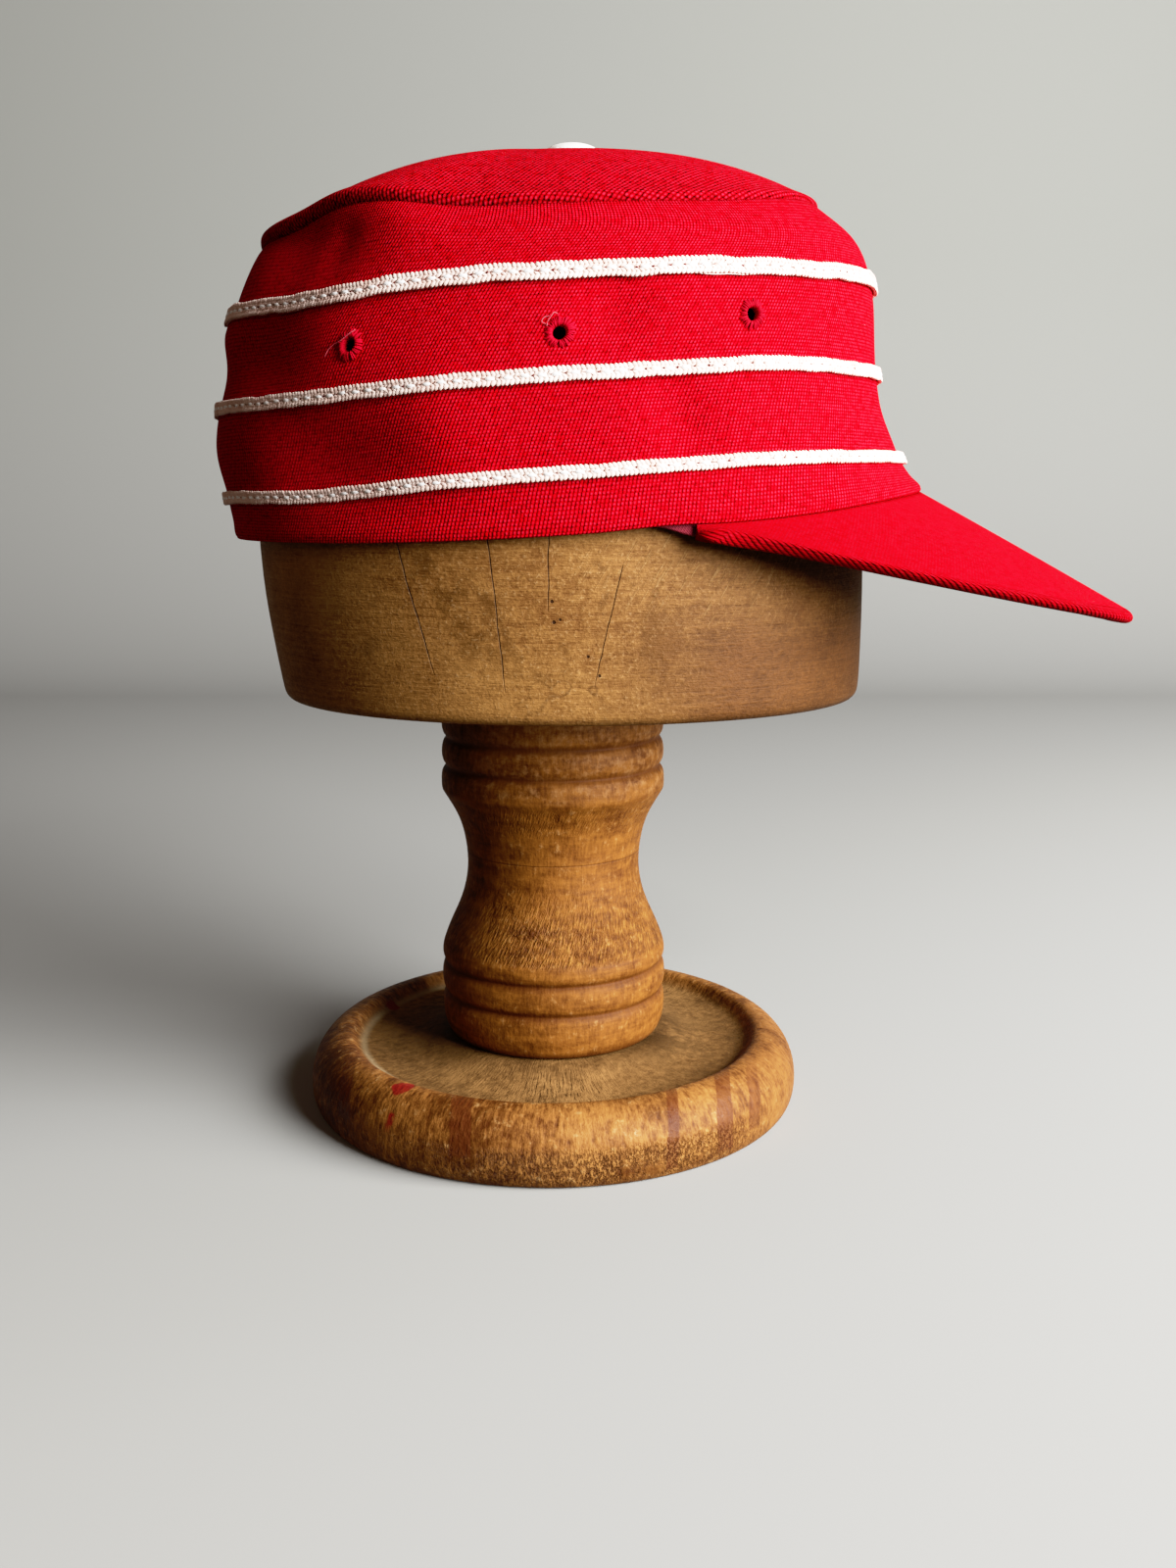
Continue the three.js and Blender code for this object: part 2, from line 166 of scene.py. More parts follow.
def redCloth(name, slant, rowGap, gap, glints, shift=0.5):
    made = Finish(name)
    uv = made.node("UVMap", {"uv_map": "cloth"})
    wander = made.noise(uv, 700, 2.0)
    along, up, _ = made.parts(uv)
    rows = (up + (wander - 0.5) * knit["unevenness"]) / knit["row"]
    inRow = rows.fract()
    offset = (rows.floor() * shift).fract()
    stitches = (along + (wander.other("Color") - 0.5) * knit["unevenness"]) / knit["stitch"]
    across = (stitches + offset - inRow * slant).fract()
    bead = (1 - (across * 2 - 1) ** 2 * 0.95 - (inRow * 2 - 1) ** 2 * rowGap).larger(0.0)
    stitch = bead ** 0.7
    patches = made.noise(uv, 38, 3.0)
    fibre = made.noise(uv, 2300, 1.0)
    flecks = made.noise(uv, 420, 2.0)
    pits = made.noise(uv, 950, 2.0).ease(0.46, 0.64)
    lit = (stitch * 0.8 + fibre * 0.3 + flecks * 0.3 + (patches - 0.5) * 0.3 - pits * 0.5).smaller(1.0)
    cloth = made.mix(lit, gap, knit["thread"])
    glint = bead.ease(0.65, 1.0) * (fibre * 0.5 + flecks * 0.5).ease(0.38, 0.62) * glints
    cloth = made.mix(glint, cloth, knit["glint"])
    # painted shade: the cloth is darkened by the attribute read here, along the top seam and on the peak's
    # lower edge, a little less on the tops of the stitches
    paintedShade = made.node("Attribute", {"attribute_name": "paintedShade"}, output="Fac")
    deep = paintedShade * (1.15 - bead * 0.4)
    made.set(colour=made.mix(deep, cloth, knit["paintedShade"]), roughness=0.8 - stitch * 0.1, specular=0.02)
    made.bump(stitch + fibre * 0.2, knit["relief"])
    return made.material


def threadFinish(name, base, shade, relief, gloss, roughness=0.7):
    made = Finish(name)
    place = made.place()
    fibre = made.noise(place, 5200, 2.0)
    patches = made.noise(place, 160, 2.0)
    made.set(colour=made.mix((fibre * 0.6 + patches * 0.6).ease(0.3, 0.85), shade, base))
    made.set(roughness=roughness, specular=gloss)
    made.bump(fibre, relief)
    return made.material


# Mesh helpers for what is sewn or knitted
def closedGrid(rowCount, columnCount, wrapRows, wrapColumns):
    row = np.arange(rowCount if wrapRows else rowCount - 1)[:, None, None]
    column = np.arange(columnCount if wrapColumns else columnCount - 1)[None, :, None]
    rows = row + np.array([0, 0, 1, 1])
    columns = column + np.array([0, 1, 1, 0])
    rows, columns = np.broadcast_arrays(rows, columns)
    faces = (rows % rowCount) * columnCount + columns % columnCount
    return faces.reshape(-1, 4), rows.reshape(-1, 4), columns.reshape(-1, 4)


def meshPiece(name, points, faces, corners=None):
    mesh = bpy.data.meshes.new(name)
    mesh.from_pydata(np.asarray(points).reshape(-1, 3).tolist(), [], faces.tolist())
    if corners is not None:
        layer = mesh.uv_layers.new(name="cloth")
        layer.data.foreach_set("uv", np.ascontiguousarray(corners, np.float32).ravel())
    made = bpy.data.objects.new(name, mesh)
    bpy.context.scene.collection.objects.link(made)
    return made


def sheetPiece(name, rows, across, up, wrapRows, wrapColumns, paintedShade=0.0):
    # rows of points, with the cloth's own measures across and up it as its texture map
    faces, faceRows, faceColumns = closedGrid(*rows.shape[:2], wrapRows, wrapColumns)
    corners = np.stack([across[faceRows, faceColumns], up[faceRows, faceColumns]], -1)
    made = meshPiece(name, rows, faces, corners)
    # how much painted shade each row gets, kept as a point attribute
    depths = np.ascontiguousarray(np.broadcast_to(paintedShade, rows.shape[:2]), np.float32)
    made.data.attributes.new("paintedShade", "FLOAT", "POINT").data.foreach_set("value", depths.ravel())
    editAll(made)
    closeEdit(weld=0.01)
    return made


def pickOnly(obj):
    bpy.ops.object.select_all(action="DESELECT")
    obj.select_set(True)
    bpy.context.view_layer.objects.active = obj


def editAll(obj):
    pickOnly(obj)
    bpy.ops.object.mode_set(mode="EDIT")
    bpy.ops.mesh.select_all(action="SELECT")


def startEdit(name):    # names the object just added and opens it with all of it picked
    made = bpy.context.object
    made.name = name
    editAll(made)
    return made


def closeEdit(weld=0.0):
    bpy.ops.mesh.select_all(action="SELECT")
    if weld:
        bpy.ops.mesh.remove_doubles(threshold=weld * mm)
    bpy.ops.mesh.normals_make_consistent(inside=False)
    bpy.ops.object.mode_set(mode="OBJECT")


def applyModifier(obj, kind, **settings):
    pickOnly(obj)
    made = obj.modifiers.new(kind.title(), kind)
    for name, value in settings.items():
        setattr(made, name, value)
    bpy.ops.object.modifier_apply(modifier=made.name)


def rounded(obj):
    applyModifier(obj, "SUBSURF", levels=2, render_levels=2)
    return obj


def dress(obj, slot, nodes, *materials):
    for material in materials:
        obj.data.materials.append(material)
    pickOnly(obj)
    bpy.ops.object.shade_smooth()
    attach(obj, "root")
    if nodes:
        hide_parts(*nodes)
    print(obj.name, "made with", len(obj.data.polygons), "faces")
    return obj


def unit(vectors):
    return vectors / np.linalg.norm(vectors, axis=-1, keepdims=True)


# Yarn: tubes with closed ends, all made in one go. paths is tubes x points x 3, and sideways
# and outward are the two directions of each point's round section.
def tubes(paths, sideways, outward, sideRadii, outRadii, sides=6):
    angles = np.arange(sides) / sides * fullTurn
    ring = sideways[..., None, :] * (np.cos(angles)[:, None] * np.asarray(sideRadii)[..., None, None])
    ring = ring + outward[..., None, :] * (np.sin(angles)[:, None] * np.asarray(outRadii)[..., None, None])
    points = paths[..., None, :] + ring
    tubeCount, steps = paths.shape[:2]
    faces = closedGrid(steps, sides, False, True)[0]
    near = np.arange(sides // 2 - 1)
    cap = np.stack([near, near + 1, sides - 2 - near, sides - 1 - near], 1)
    faces = np.concatenate([cap[:, ::-1], faces, cap + (steps - 1) * sides])
    starts = np.arange(tubeCount)[:, None, None] * (steps * sides)
    return points.reshape(-1, 3), (faces[None] + starts).reshape(-1, 4)


def slips(rng, size, count):    # even draws up to a size either way
    return rng.uniform(-size, size, count)


def joined(parts):
    points = np.concatenate([part[0] for part in parts])
    starts = np.cumsum([0] + [len(part[0]) for part in parts])
    faces = np.concatenate([part[1] + start for part, start in zip(parts, starts)])
    kinds = np.concatenate([np.full(len(part[1]), kind) for kind, part in enumerate(parts)])
    return points, faces, kinds


# Crown: each column runs from the rim through the three braids and the shoulder to the top seam
crown = {
    "frontX": (112.4, 105.6, 97.8, 95.2, 90.5, 78.2),
    "backX": (-95.5, -97.8, -99.2, -94.0, -86.5, -83.0),
    "halfWidth": (83.0, 84.0, 84.5, 82.0, 79.0, 74.0),
    "frontZ": (194.1, 202.9, 226.9, 252.4, 264.0, 274.5),
    "sideZ": (182.2, 197.6, 221.2, 246.5, 257.3, 264.1),
    "backZ": (179.5, 191.5, 216.4, 242.8, 259.8, 263.7),
    "frontGain": (-0.8, 0.9, 1.1, 0.0, -0.6, -1.3),
    "backGain": (0.0, -1.9, -1.1, -1.5, 1.5, 5.0),
    "frontQuarter": 55, "backQuarter": 129, "quarterReach": 20,
    "rimLiftTurn": 77, "rimLiftReach": 7, "rimLift": 0.6,
    "cloth": 1.6, "gap": 0.3, "hem": 0.45, "hemRise": 0.035, "hemReach": 0.04,
    "paintedShade": 0.55, "paintedShadeReach": 0.022, "lowRise": 0.02, "highRise": 0.97,
    "puckerWave": 0.12, "puckerDepth": 0.1, "puckerReach": 0.035, "quickWave": 47, "slowWave": 19,
    "columns": 360, "rows": 92, "innerRows": 26,
}
# Soft dents, negative for a swell: turn from the front, rise from rim to seam, their reaches, depth
crownFolds = [
    (-141, 0.82, 13, 0.22, 4.2),
    (-115, 0.84, 8, 0.20, -1.8),
    (-128.5, 0.77, 4, 0.11, 1.2),
    (-144, 0.50, 12, 0.09, 2.2),
    (-124, 0.50, 8, 0.09, -0.9),
    (-128, 0.28, 13, 0.11, 3.6),
    (-106, 0.31, 8, 0.12, -1.9),
    (-79, 0.51, 6, 0.07, 2.4),
    (-70, 0.30, 5, 0.09, 2.5),
    (-150, 0.50, 14, 0.07, 1.2),
    (180, 0.31, 32, 0.07, -1.6),
    (180, 0.47, 34, 0.06, 1.3),
    (180, 0.56, 34, 0.045, -1.6),
    (0, 0.33, 30, 0.06, 0.9),
    (126, 0.86, 9, 0.16, 1.8),
    (84, 0.30, 11, 0.11, 1.3),
]
braidRises = (0.2, 0.4, 0.6)


def fade(distance, reach):
    return np.exp(-((distance / reach) ** 2))


def turnFrom(turn, degrees):
    away = turn - math.radians(degrees)
    return np.degrees(np.arctan2(np.sin(away), np.cos(away)))


def bothSides(turn, degrees, reach):
    return np.maximum(fade(turnFrom(turn, degrees), reach), fade(turnFrom(turn, -degrees), reach))


def roundCrown(front, side, back, turn):
    along = np.cos(turn)
    return side + (front - back) / 2 * along + ((front + back) / 2 - side) * along ** 2


def through(points, place):
    # smooth curve through the first axis of points, which place counts along
    points = np.concatenate([2 * points[:1] - points[1:2], points, 2 * points[-1:] - points[-2:-1]])
    step = np.clip(np.floor(place).astype(int), 0, len(points) - 4)
    share = (place - step)[..., None]
    a, b, c, d = [np.take_along_axis(points, (step + k)[None, ..., None], 0)[0] for k in range(4)]
    pairs = ((a, b), (b, c), (c, d))
    ab, bc, cd = [np.sqrt(np.linalg.norm(q - p, axis=-1, keepdims=True)) for p, q in pairs]
    leave = bc * ((b - a) / ab - (c - a) / (ab + bc) + (c - b) / bc)
    arrive = bc * ((c - b) / bc - (d - b) / (bc + cd) + (d - c) / cd)
    bend = 3 * (c - b) - 2 * leave - arrive
    return b + leave * share + bend * share ** 2 + (2 * (b - c) + leave + arrive) * share ** 3


def crownFace(turn, rise):
    turn, rise = np.broadcast_arrays(np.asarray(turn, float), np.asarray(rise, float))
    front = bothSides(turn, crown["frontQuarter"], crown["quarterReach"])
    back = bothSides(turn, crown["backQuarter"], crown["quarterReach"])
    levels = []
    for level in range(len(crown["frontX"])):
        row = {name: crown[name][level] * mm for name in crown if isinstance(crown[name], tuple)}
        middle, half = (row["frontX"] + row["backX"]) / 2, (row["frontX"] - row["backX"]) / 2
        z = roundCrown(row["frontZ"], row["sideZ"], row["backZ"], turn)
        z = z + front * row["frontGain"] + back * row["backGain"]
        levels.append(np.stack([middle + half * np.cos(turn), row["halfWidth"] * np.sin(turn), z], -1))
    return through(np.stack(levels), np.clip(rise, 0, 1) * (len(levels) - 1))


def crownAxes(turn, rise):
    step = 0.01
    around = unit(crownFace(turn + step, rise) - crownFace(turn - step, rise))
    up = unit(crownFace(turn, rise + step) - crownFace(turn, rise - step))
    return around, up, unit(np.cross(around, up))


def foldDepth(turn, rise):
    depth = np.zeros(np.broadcast(turn, rise).shape)
    for foldTurn, foldRise, turnReach, riseReach, foldIn in crownFolds:
        beside = fade(turnFrom(turn, foldTurn), turnReach)
        depth = depth + foldIn * beside * fade(rise - foldRise, riseReach)
    return depth * mm


def crownPoint(turn, rise, outset=0.0, lift=0.0):
    _, up, out = crownAxes(turn, rise)
    point = crownFace(turn, rise) + out * np.asarray(outset - foldDepth(turn, rise))[..., None]
    beside = bothSides(turn, crown["rimLiftTurn"], crown["rimLiftReach"]) * crown["rimLift"] * mm
    point[..., 2] += beside * np.maximum(0, 1 - rise / braidRises[0])
    return point + up * np.asarray(lift)[..., None]


def lengthAlong(points, axis):
    steps = np.linalg.norm(np.diff(points, axis=axis), axis=-1)
    other = 1 - axis
    return np.concatenate([[0], np.cumsum(steps.mean(other))])


def runningLength(rows):    # down each column, from the first row
    steps = np.linalg.norm(np.diff(rows, axis=0), axis=-1)
    return np.concatenate([0 * steps[:1], np.cumsum(steps, 0)])


def turnsRound(count):    # once round from the middle of the back, with the first turn again at the end
    return -math.pi + np.arange(count + 1) / count * fullTurn


def foldedEdge(radius):    # a half round edge from the inner face: its steps outward and upward
    bend = np.radians(np.linspace(180, 0, 9))
    return radius * (np.cos(bend) - 1), radius * (1 - np.sin(bend))


def stitchPucker(turn, rise):
    # cloth drawn in along each braid's stitching, and the slight waves beside it
    depth = 0 * (turn + rise)
    for number, braidRise in enumerate(braidRises):
        wave = np.sin(turn * crown["quickWave"] + number * 2) * np.sin(turn * crown["slowWave"] + number)
        drawn = crown["puckerWave"] * wave - crown["puckerDepth"]
        depth = depth + drawn * fade(rise - braidRise, crown["puckerReach"])
    return depth * mm


def addCrownSide():
    turns = turnsRound(crown["columns"])
    columns = turns[None, :]
    radius = crown["cloth"] / 2 * mm
    fold, tuck = foldedEdge(radius)
    rises = np.linspace(crown["lowRise"], crown["highRise"], crown["rows"])
    inner = np.linspace(crown["highRise"], crown["lowRise"], crown["innerRows"])
    rise = np.concatenate([0 * fold, rises, 0 * fold + 1, inner])
    outset = np.concatenate([fold, 0 * rises, fold[::-1], 0 * inner - 2 * radius])
    lift = np.concatenate([tuck, 0 * rises, -tuck[::-1], 0 * inner])
    hem = crown["hem"] * mm * fade(rise - crown["hemRise"], crown["hemReach"]) * (outset > -radius)
    raised = stitchPucker(columns, rise[:, None]) + hem[:, None]
    rows = crownPoint(columns, rise[:, None], outset[:, None] + raised, lift[:, None] + 0 * columns)
    outerFace = rows[20:80]
    across = np.broadcast_to(lengthAlong(outerFace, 1), (len(rise) + 1, len(turns)))
    up = lengthAlong(np.concatenate([rows, rows[:1]]), 0)[:, None] + 0 * columns
    # painted shade along the top seam, under the roll of the top panel
    paintedShade = crown["paintedShade"] * fade(rise - 1, crown["paintedShadeReach"])[:, None]
    made = sheetPiece("crownSide", rows[:, :-1], across, up, True, True, paintedShade)
    cutEyelets(made)
    cloth = redCloth("redKnit", slant=knit["slant"], rowGap=0.5, gap="6a0005", glints=1.2)
    return dress(made, "red_cloth", ["crown_side"], cloth)


# Eyelets: worked round with thread, the same three on each side of the crown
eyelet = {
    "hole": 2.3, "punchDepth": 9, "reach": 4.0, "thread": 0.23, "tail": 0.14, "tailTip": 0.3,
    "stitches": 56, "seed": 11, "angleSlip": 0.45, "unevenness": 0.4, "unevenFrom": 0.7, "lean": 1.1,
    "riseSlip": (-0.16, 0.14), "threadSlip": (0.85, 1.15), "taper": (0.4, 1, 1.05, 1, 0.9, 0.8, 0.6),
    "rows": (("back", 120.3, 0.492), ("middle", 87.2, 0.478), ("front", 56.3, 0.498)),
    "profile": (
        (1.0, -0.3), (0.92, 0.1), (0.78, 0.38), (0.63, 0.66), (0.52, 0.48), (0.46, -0.3), (0.46, -1.5),
    ),
}
# Loose ends of thread: right of the hole, above it and off the cloth
eyeletTails = {
    "near_back": [
        [(2.0, 3.4, 0.9), (0.3, 2.5, 1.2), (-2.2, 1.1, 1.1), (-4.4, 0.5, 0.8), (-6.3, -0.6, 0.5),
         (-7.4, -2.2, 0.2)],
    ],
    "near_middle": [
        [(-0.6, 4.5, 0.4), (-1.5, 4.8, 0.9), (-2.2, 3.9, 1.1), (-3.1, 2.5, 0.9), (-3.2, 1.6, 0.3)],
        [(-2.6, 4.1, 0.5), (-4.0, 3.7, 0.8), (-4.5, 2.8, 0.8), (-3.6, 2.2, 0.6), (-2.8, 2.0, 0.3)],
    ],
}


def eyeletPlaces():
    for side, sign in (("near", -1), ("far", 1)):
        for name, turn, rise in eyelet["rows"]:
            turn = np.array(sign * math.radians(turn))
            rise = np.array(rise)
            yield f"{side}_{name}", crownPoint(turn, rise), np.stack(crownAxes(turn, rise))


def cutEyelets(cloth):
    bpy.ops.object.select_all(action="DESELECT")
    punches = []
    size = {"vertices": 28, "radius": eyelet["hole"] * mm, "depth": eyelet["punchDepth"] * mm}
    for _, middle, (right, _, out) in eyeletPlaces():
        bpy.ops.mesh.primitive_cylinder_add(**size)
        punch = bpy.context.object
        turned = np.eye(4)
        turned[:3, :3] = np.stack([right, np.cross(out, right), out], 1)
        turned[:3, 3] = middle
        punch.data.transform(Matrix(turned.tolist()))
        punches.append(punch)
    pickOnly(punches[0])
    for punch in punches:
        punch.select_set(True)
    bpy.ops.object.join()
    applyModifier(cloth, "BOOLEAN", operation="DIFFERENCE", solver="EXACT", object=punches[0])
    bpy.data.objects.remove(punches[0])


def addEyelets(*materials):
    draw = np.random.default_rng(eyelet["seed"])
    count = eyelet["stitches"]
    share, height = np.array(eyelet["profile"]).T
    made = []
    for name, middle, (right, up, out) in eyeletPlaces():
        angle = (np.arange(count) + slips(draw, eyelet["angleSlip"], count)) / count * fullTurn
        spoke = np.cos(angle)[:, None] * right + np.sin(angle)[:, None] * up
        side = np.cross(out, spoke)
        reach = eyelet["reach"] + slips(draw, 1, count) * eyelet["unevenness"]
        radius = share * np.where(share > eyelet["unevenFrom"], reach[:, None], eyelet["reach"]) * mm
        rise = (height + draw.uniform(*eyelet["riseSlip"], count)[:, None]) * mm
        lean = slips(draw, eyelet["lean"], count)[:, None] * (share - share[-1]) * mm
        paths = middle + radius[..., None] * spoke[:, None] + rise[..., None] * out
        paths = paths + lean[..., None] * side[:, None]
        ahead = unit(np.gradient(paths, axis=1))
        sideways = np.broadcast_to(side[:, None], paths.shape)
        thick = eyelet["thread"] * draw.uniform(*eyelet["threadSlip"], count)[:, None]
        thick = thick * np.array(eyelet["taper"]) * mm
        parts = [tubes(paths, sideways, np.cross(ahead, sideways), thick, thick)]
        for tail in eyeletTails.get(name, []):
            parts.append(looseThread(np.array(tail) * mm, middle, (right, up, out)))
        points, faces, kinds = joined(parts)
        piece = meshPiece(f"eyelet_{name}_thread", points, faces)
        dress(piece, "red_thread", [f"eyelet_{name}"], *materials)
        piece.data.polygons.foreach_set("material_index", np.minimum(1, kinds).astype(np.int32))
        made.append(piece)
    return made


def looseThread(steps, middle, axes):
    places = np.linspace(0, len(steps) - 1, 6 * len(steps))
    local = through(steps[:, None], places)
    path = (middle + local @ np.stack(axes))[None]
    ahead = unit(np.gradient(path, axis=1))
    side = unit(np.cross(ahead, axes[2]))
    thick = np.full(path.shape[:2], eyelet["tail"] * mm)
    thick[:, [0, -1]] *= eyelet["tailTip"]
    return tubes(path, side, np.cross(ahead, side), thick, thick)


# Braids: flat and knitted, four slanted stitches wide, sewn on with a line of stitches
braid = {
    "seed": 20, "stitch": 1.18, "stitchSlip": 0.12, "yarn": 0.36, "edgeYarn": 0.5, "yarnSlip": 0.06,
    "yarnSpread": 1.2, "yarnFlat": 0.6, "yarnRise": 0.28, "arch": 0.14, "face": 1.45, "floor": 0.62,
    "innerFrom": 0.07, "innerTo": 0.52, "innerRun": 1.7, "edgeRun": -1.3, "edgeInset": 0.3, "overlap": 0.1,
    "innerTaper": (0.4, 0.95, 1.05, 0.95, 0.4), "edgeTaper": (0.5, 0.9, 1.0, 1.05, 0.95),
    "seamStitch": 4.1, "seamSlip": 0.08, "seamSway": 0.1, "seamLength": 3.0, "seamYarn": 0.48,
    "seamDip": 0.75, "seamTaper": 0.55, "hole": 0.42, "holeRise": 0.2, "holeSizes": (0.3, 1.0),
    "rows": (("lower", 0.2, 3.5, 0.08), ("middle", 0.4, 3.7, 0.1), ("upper", 0.6, 4.4, 0.16)),
    "bed": ((-0.88, 0.0), (-0.95, 0.4), (-0.7, 0.86), (0, 0.78), (0.7, 0.86), (0.95, 0.4), (0.88, 0.0)),
    "bedSteps": 720, "marks": 2400, "holeSteps": (-1.0, -0.55, 0.0, 0.55, 1.0), "holeEnd": 1.02,
    "swayWaves": ((1, 9, 0), (0.7, 23, 1), (0.5, 41, 2)), "widthWaves": ((0.035, 31, 0), (0.03, 57, 1)),
}


def ripple(level, turn, waves):    # a level with waves on it, each a size, a rate and a start
    for size, rate, start in waves:
        level = level + size * np.sin(rate * turn + start)
    return level


class BraidLine:
    # places on one braid: along it, across it and off the crown, all in metres
    def __init__(self, rise, wander, number):
        self.rise = rise
        self.wander = wander * mm
        self.number = number
        turns = turnsRound(braid["marks"])
        self.turns = turns
        self.marks = lengthAlong(crownPoint(turns, rise)[None], 1)
        self.length = self.marks[-1]

    def point(self, along, across, off):
        turn = np.interp(np.mod(along, self.length), self.marks, self.turns)
        _, up, out = crownAxes(turn, self.rise)
        width = ripple(1, turn + self.number, braid["widthWaves"])
        across = across * width + self.wander * ripple(0, turn + self.number, braid["swayWaves"])
        return crownPoint(turn, self.rise) + up * across[..., None] + out * off[..., None]


def slantedYarn(line, starts, ends, length, radius, taper, rng):
    # one row of slanted stitches: starts and ends are places across the braid
    count = int(round(line.length / (braid["stitch"] * mm)))
    first = (np.arange(count) + slips(rng, braid["stitchSlip"], count)) * line.length / count
    share = np.linspace(0, 1, 5)
    along = first[:, None] + (share - 0.5) * length
    across = starts + (ends - starts) * share + slips(rng, braid["yarnSlip"], count)[:, None] * mm
    lift = np.sin(share * math.pi) * braid["arch"] + braid["floor"] + braid["yarnRise"]
    off = lift * mm + crown["gap"] * mm + slips(rng, braid["yarnSlip"], count)[:, None] * mm
    thick = np.array(taper) * radius * mm
    return lineTubes(line, along, across, off, thick * braid["yarnSpread"], thick * braid["yarnFlat"])


def lineTubes(line, along, across, off, sideRadius, outRadius, sides=6):
    along, across, off = np.broadcast_arrays(along, across, off)
    paths = line.point(along, across, off)
    ahead = unit(np.gradient(paths, axis=1))
    outward = unit(line.point(along, across, off + mm) - paths)
    sideways = unit(np.cross(outward, ahead))
    size = np.broadcast_to(sideRadius, along.shape), np.broadcast_to(outRadius, along.shape)
    return tubes(paths, sideways, unit(np.cross(ahead, sideways)), *size, sides)


def braidBed(line, half):
    # the closed strip under the stitches
    section = np.array(braid["bed"])
    count = braid["bedSteps"]
    along = np.arange(count)[:, None] / count * line.length
    across = section[None, :, 0] * half + 0 * along
    off = section[None, :, 1] * mm + crown["gap"] * mm + 0 * along
    points = line.point(along + 0 * across, across, off)
    return points.reshape(-1, 3), closedGrid(count, len(section), True, True)[0]


def addBraid(number, name, rise, width, wander, materials):
    rng = np.random.default_rng(braid["seed"] + number)
    line = BraidLine(rise, wander, number)
    half = width / 2 * mm
    inner, middle = braid["innerFrom"] * half, braid["innerTo"] * half
    edge = half - braid["edgeInset"] * mm
    yarn = []
    for sign in (1, -1):
        innerRow = (sign * inner, sign * middle, braid["innerRun"] * mm)
        edgeRow = (sign * (middle - braid["overlap"] * mm), sign * edge, braid["edgeRun"] * mm)
        yarn.append(slantedYarn(line, *innerRow, braid["yarn"], braid["innerTaper"], rng))
        yarn.append(slantedYarn(line, *edgeRow, braid["edgeYarn"], braid["edgeTaper"], rng))
    count = int(round(line.length / (braid["seamStitch"] * mm)))
    first = (np.arange(count) + slips(rng, braid["seamSlip"], count)) * line.length / count
    share = np.linspace(-1, 1, 7)
    along = first[:, None] + share * braid["seamLength"] / 2 * mm
    height = braid["face"] - braid["seamDip"] * np.abs(share) ** 3
    off = (height + crown["gap"] - braid["seamYarn"]) * mm + 0 * along
    thick = braid["seamYarn"] * (1 - braid["seamTaper"] * np.abs(share) ** 4) * mm
    sway = slips(rng, braid["seamSway"], count)[:, None] * mm
    seam = lineTubes(line, along, sway, off, thick * braid["yarnSpread"], thick)
    # dark lumps in the needle holes between the seam stitches, as painted shade
    spot = np.array(braid["holeSteps"])
    along = first[:, None] + (braid["seamStitch"] / 2 + spot * braid["hole"]) * mm
    off = (braid["floor"] + braid["holeRise"] + crown["gap"]) * mm + 0 * along
    sizes = rng.uniform(*braid["holeSizes"], count)[:, None]
    thick = braid["hole"] * np.sqrt(braid["holeEnd"] - spot ** 2) * sizes * mm
    holes = lineTubes(line, along, 0 * along, off, thick, thick)
    if name == "upper":
        yarn.append(looseStrand(line, half))
        yarn.append(braidEnd(line, half))
    points, faces, kinds = joined([*yarn, seam, holes, braidBed(line, half)])
    made = meshPiece(f"braid_{name}_knitted", points, faces)
    dress(made, "white_braid", [f"braid_{name}"], *materials)
    finishes = np.maximum(0, kinds - len(yarn) + 1).astype(np.int32)
    made.data.polygons.foreach_set("material_index", finishes)
    return made


# Upper braid: a pulled strand that hangs in a shallow loop under its edge
strand = {"turn": -62, "halfLength": 8, "sag": 0.5, "tuck": 0.25, "off": 0.7, "swing": 0.5, "radius": 0.14}


def looseStrand(line, half):
    middle = np.interp(math.radians(strand["turn"]), line.turns, line.marks)
    share = np.linspace(-1, 1, 25)[None]
    along = middle + share * strand["halfLength"] * mm
    across = -half - (1 - share ** 2) * strand["sag"] * mm + strand["tuck"] * mm
    off = (strand["off"] + strand["swing"] * (1 - share ** 2)) * mm
    return lineTubes(line, along, across, off, strand["radius"] * mm, strand["radius"] * mm)


# Upper braid: its cut end, turned down where it meets at the back
turnedEnd = {
    "beforeJoin": 3, "lean": 0.8, "start": 0.2, "length": 5.5, "off": 1.0, "swell": 0.5, "radius": 0.9,
    "taper": 0.3, "flatness": 0.7,
}


def braidEnd(line, half):
    share = np.linspace(0, 1, 9)[None]
    along = np.full(share.shape, line.length - turnedEnd["beforeJoin"] * mm)
    along = along + share * turnedEnd["lean"] * mm
    across = -half * turnedEnd["start"] - share * turnedEnd["length"] * mm
    off = (turnedEnd["off"] + turnedEnd["swell"] * np.sin(share * 3)) * mm
    thick = (turnedEnd["radius"] - turnedEnd["taper"] * share ** 4) * mm
    return lineTubes(line, along, across, off, thick, thick * turnedEnd["flatness"], sides=8)


# Top panel: a dome whose edge is drawn into the seam and stands up in a soft roll, highest at the
# back. Values in threes are for the front, the sides and the back.
top = {
    "middleX": 6.4, "topZ": 290.2, "reaches": (0.0, 0.2, 0.4, 0.58, 0.74, 0.87, 0.95),
    "fullness": (2.6, 2.1, 2.3), "lift": (3.0, 3.8, 4.6), "over": (1.8, 1.8, 3.4), "hang": (0.0, 0.0, 1.0),
    "bulge": 0.72, "rollHang": 0.4, "lipReach": 0.8, "slit": 0.15, "sink": 0.6, "tuck": 3.0, "tuckIn": 0.5,
    "paintedShade": 0.62, "paintedShadeReach": 0.8, "shade": 0.22, "shadeReach": 1.9,
    "knit": 1.4, "rows": 110, "columns": 300, "cloth": 1.4,
}


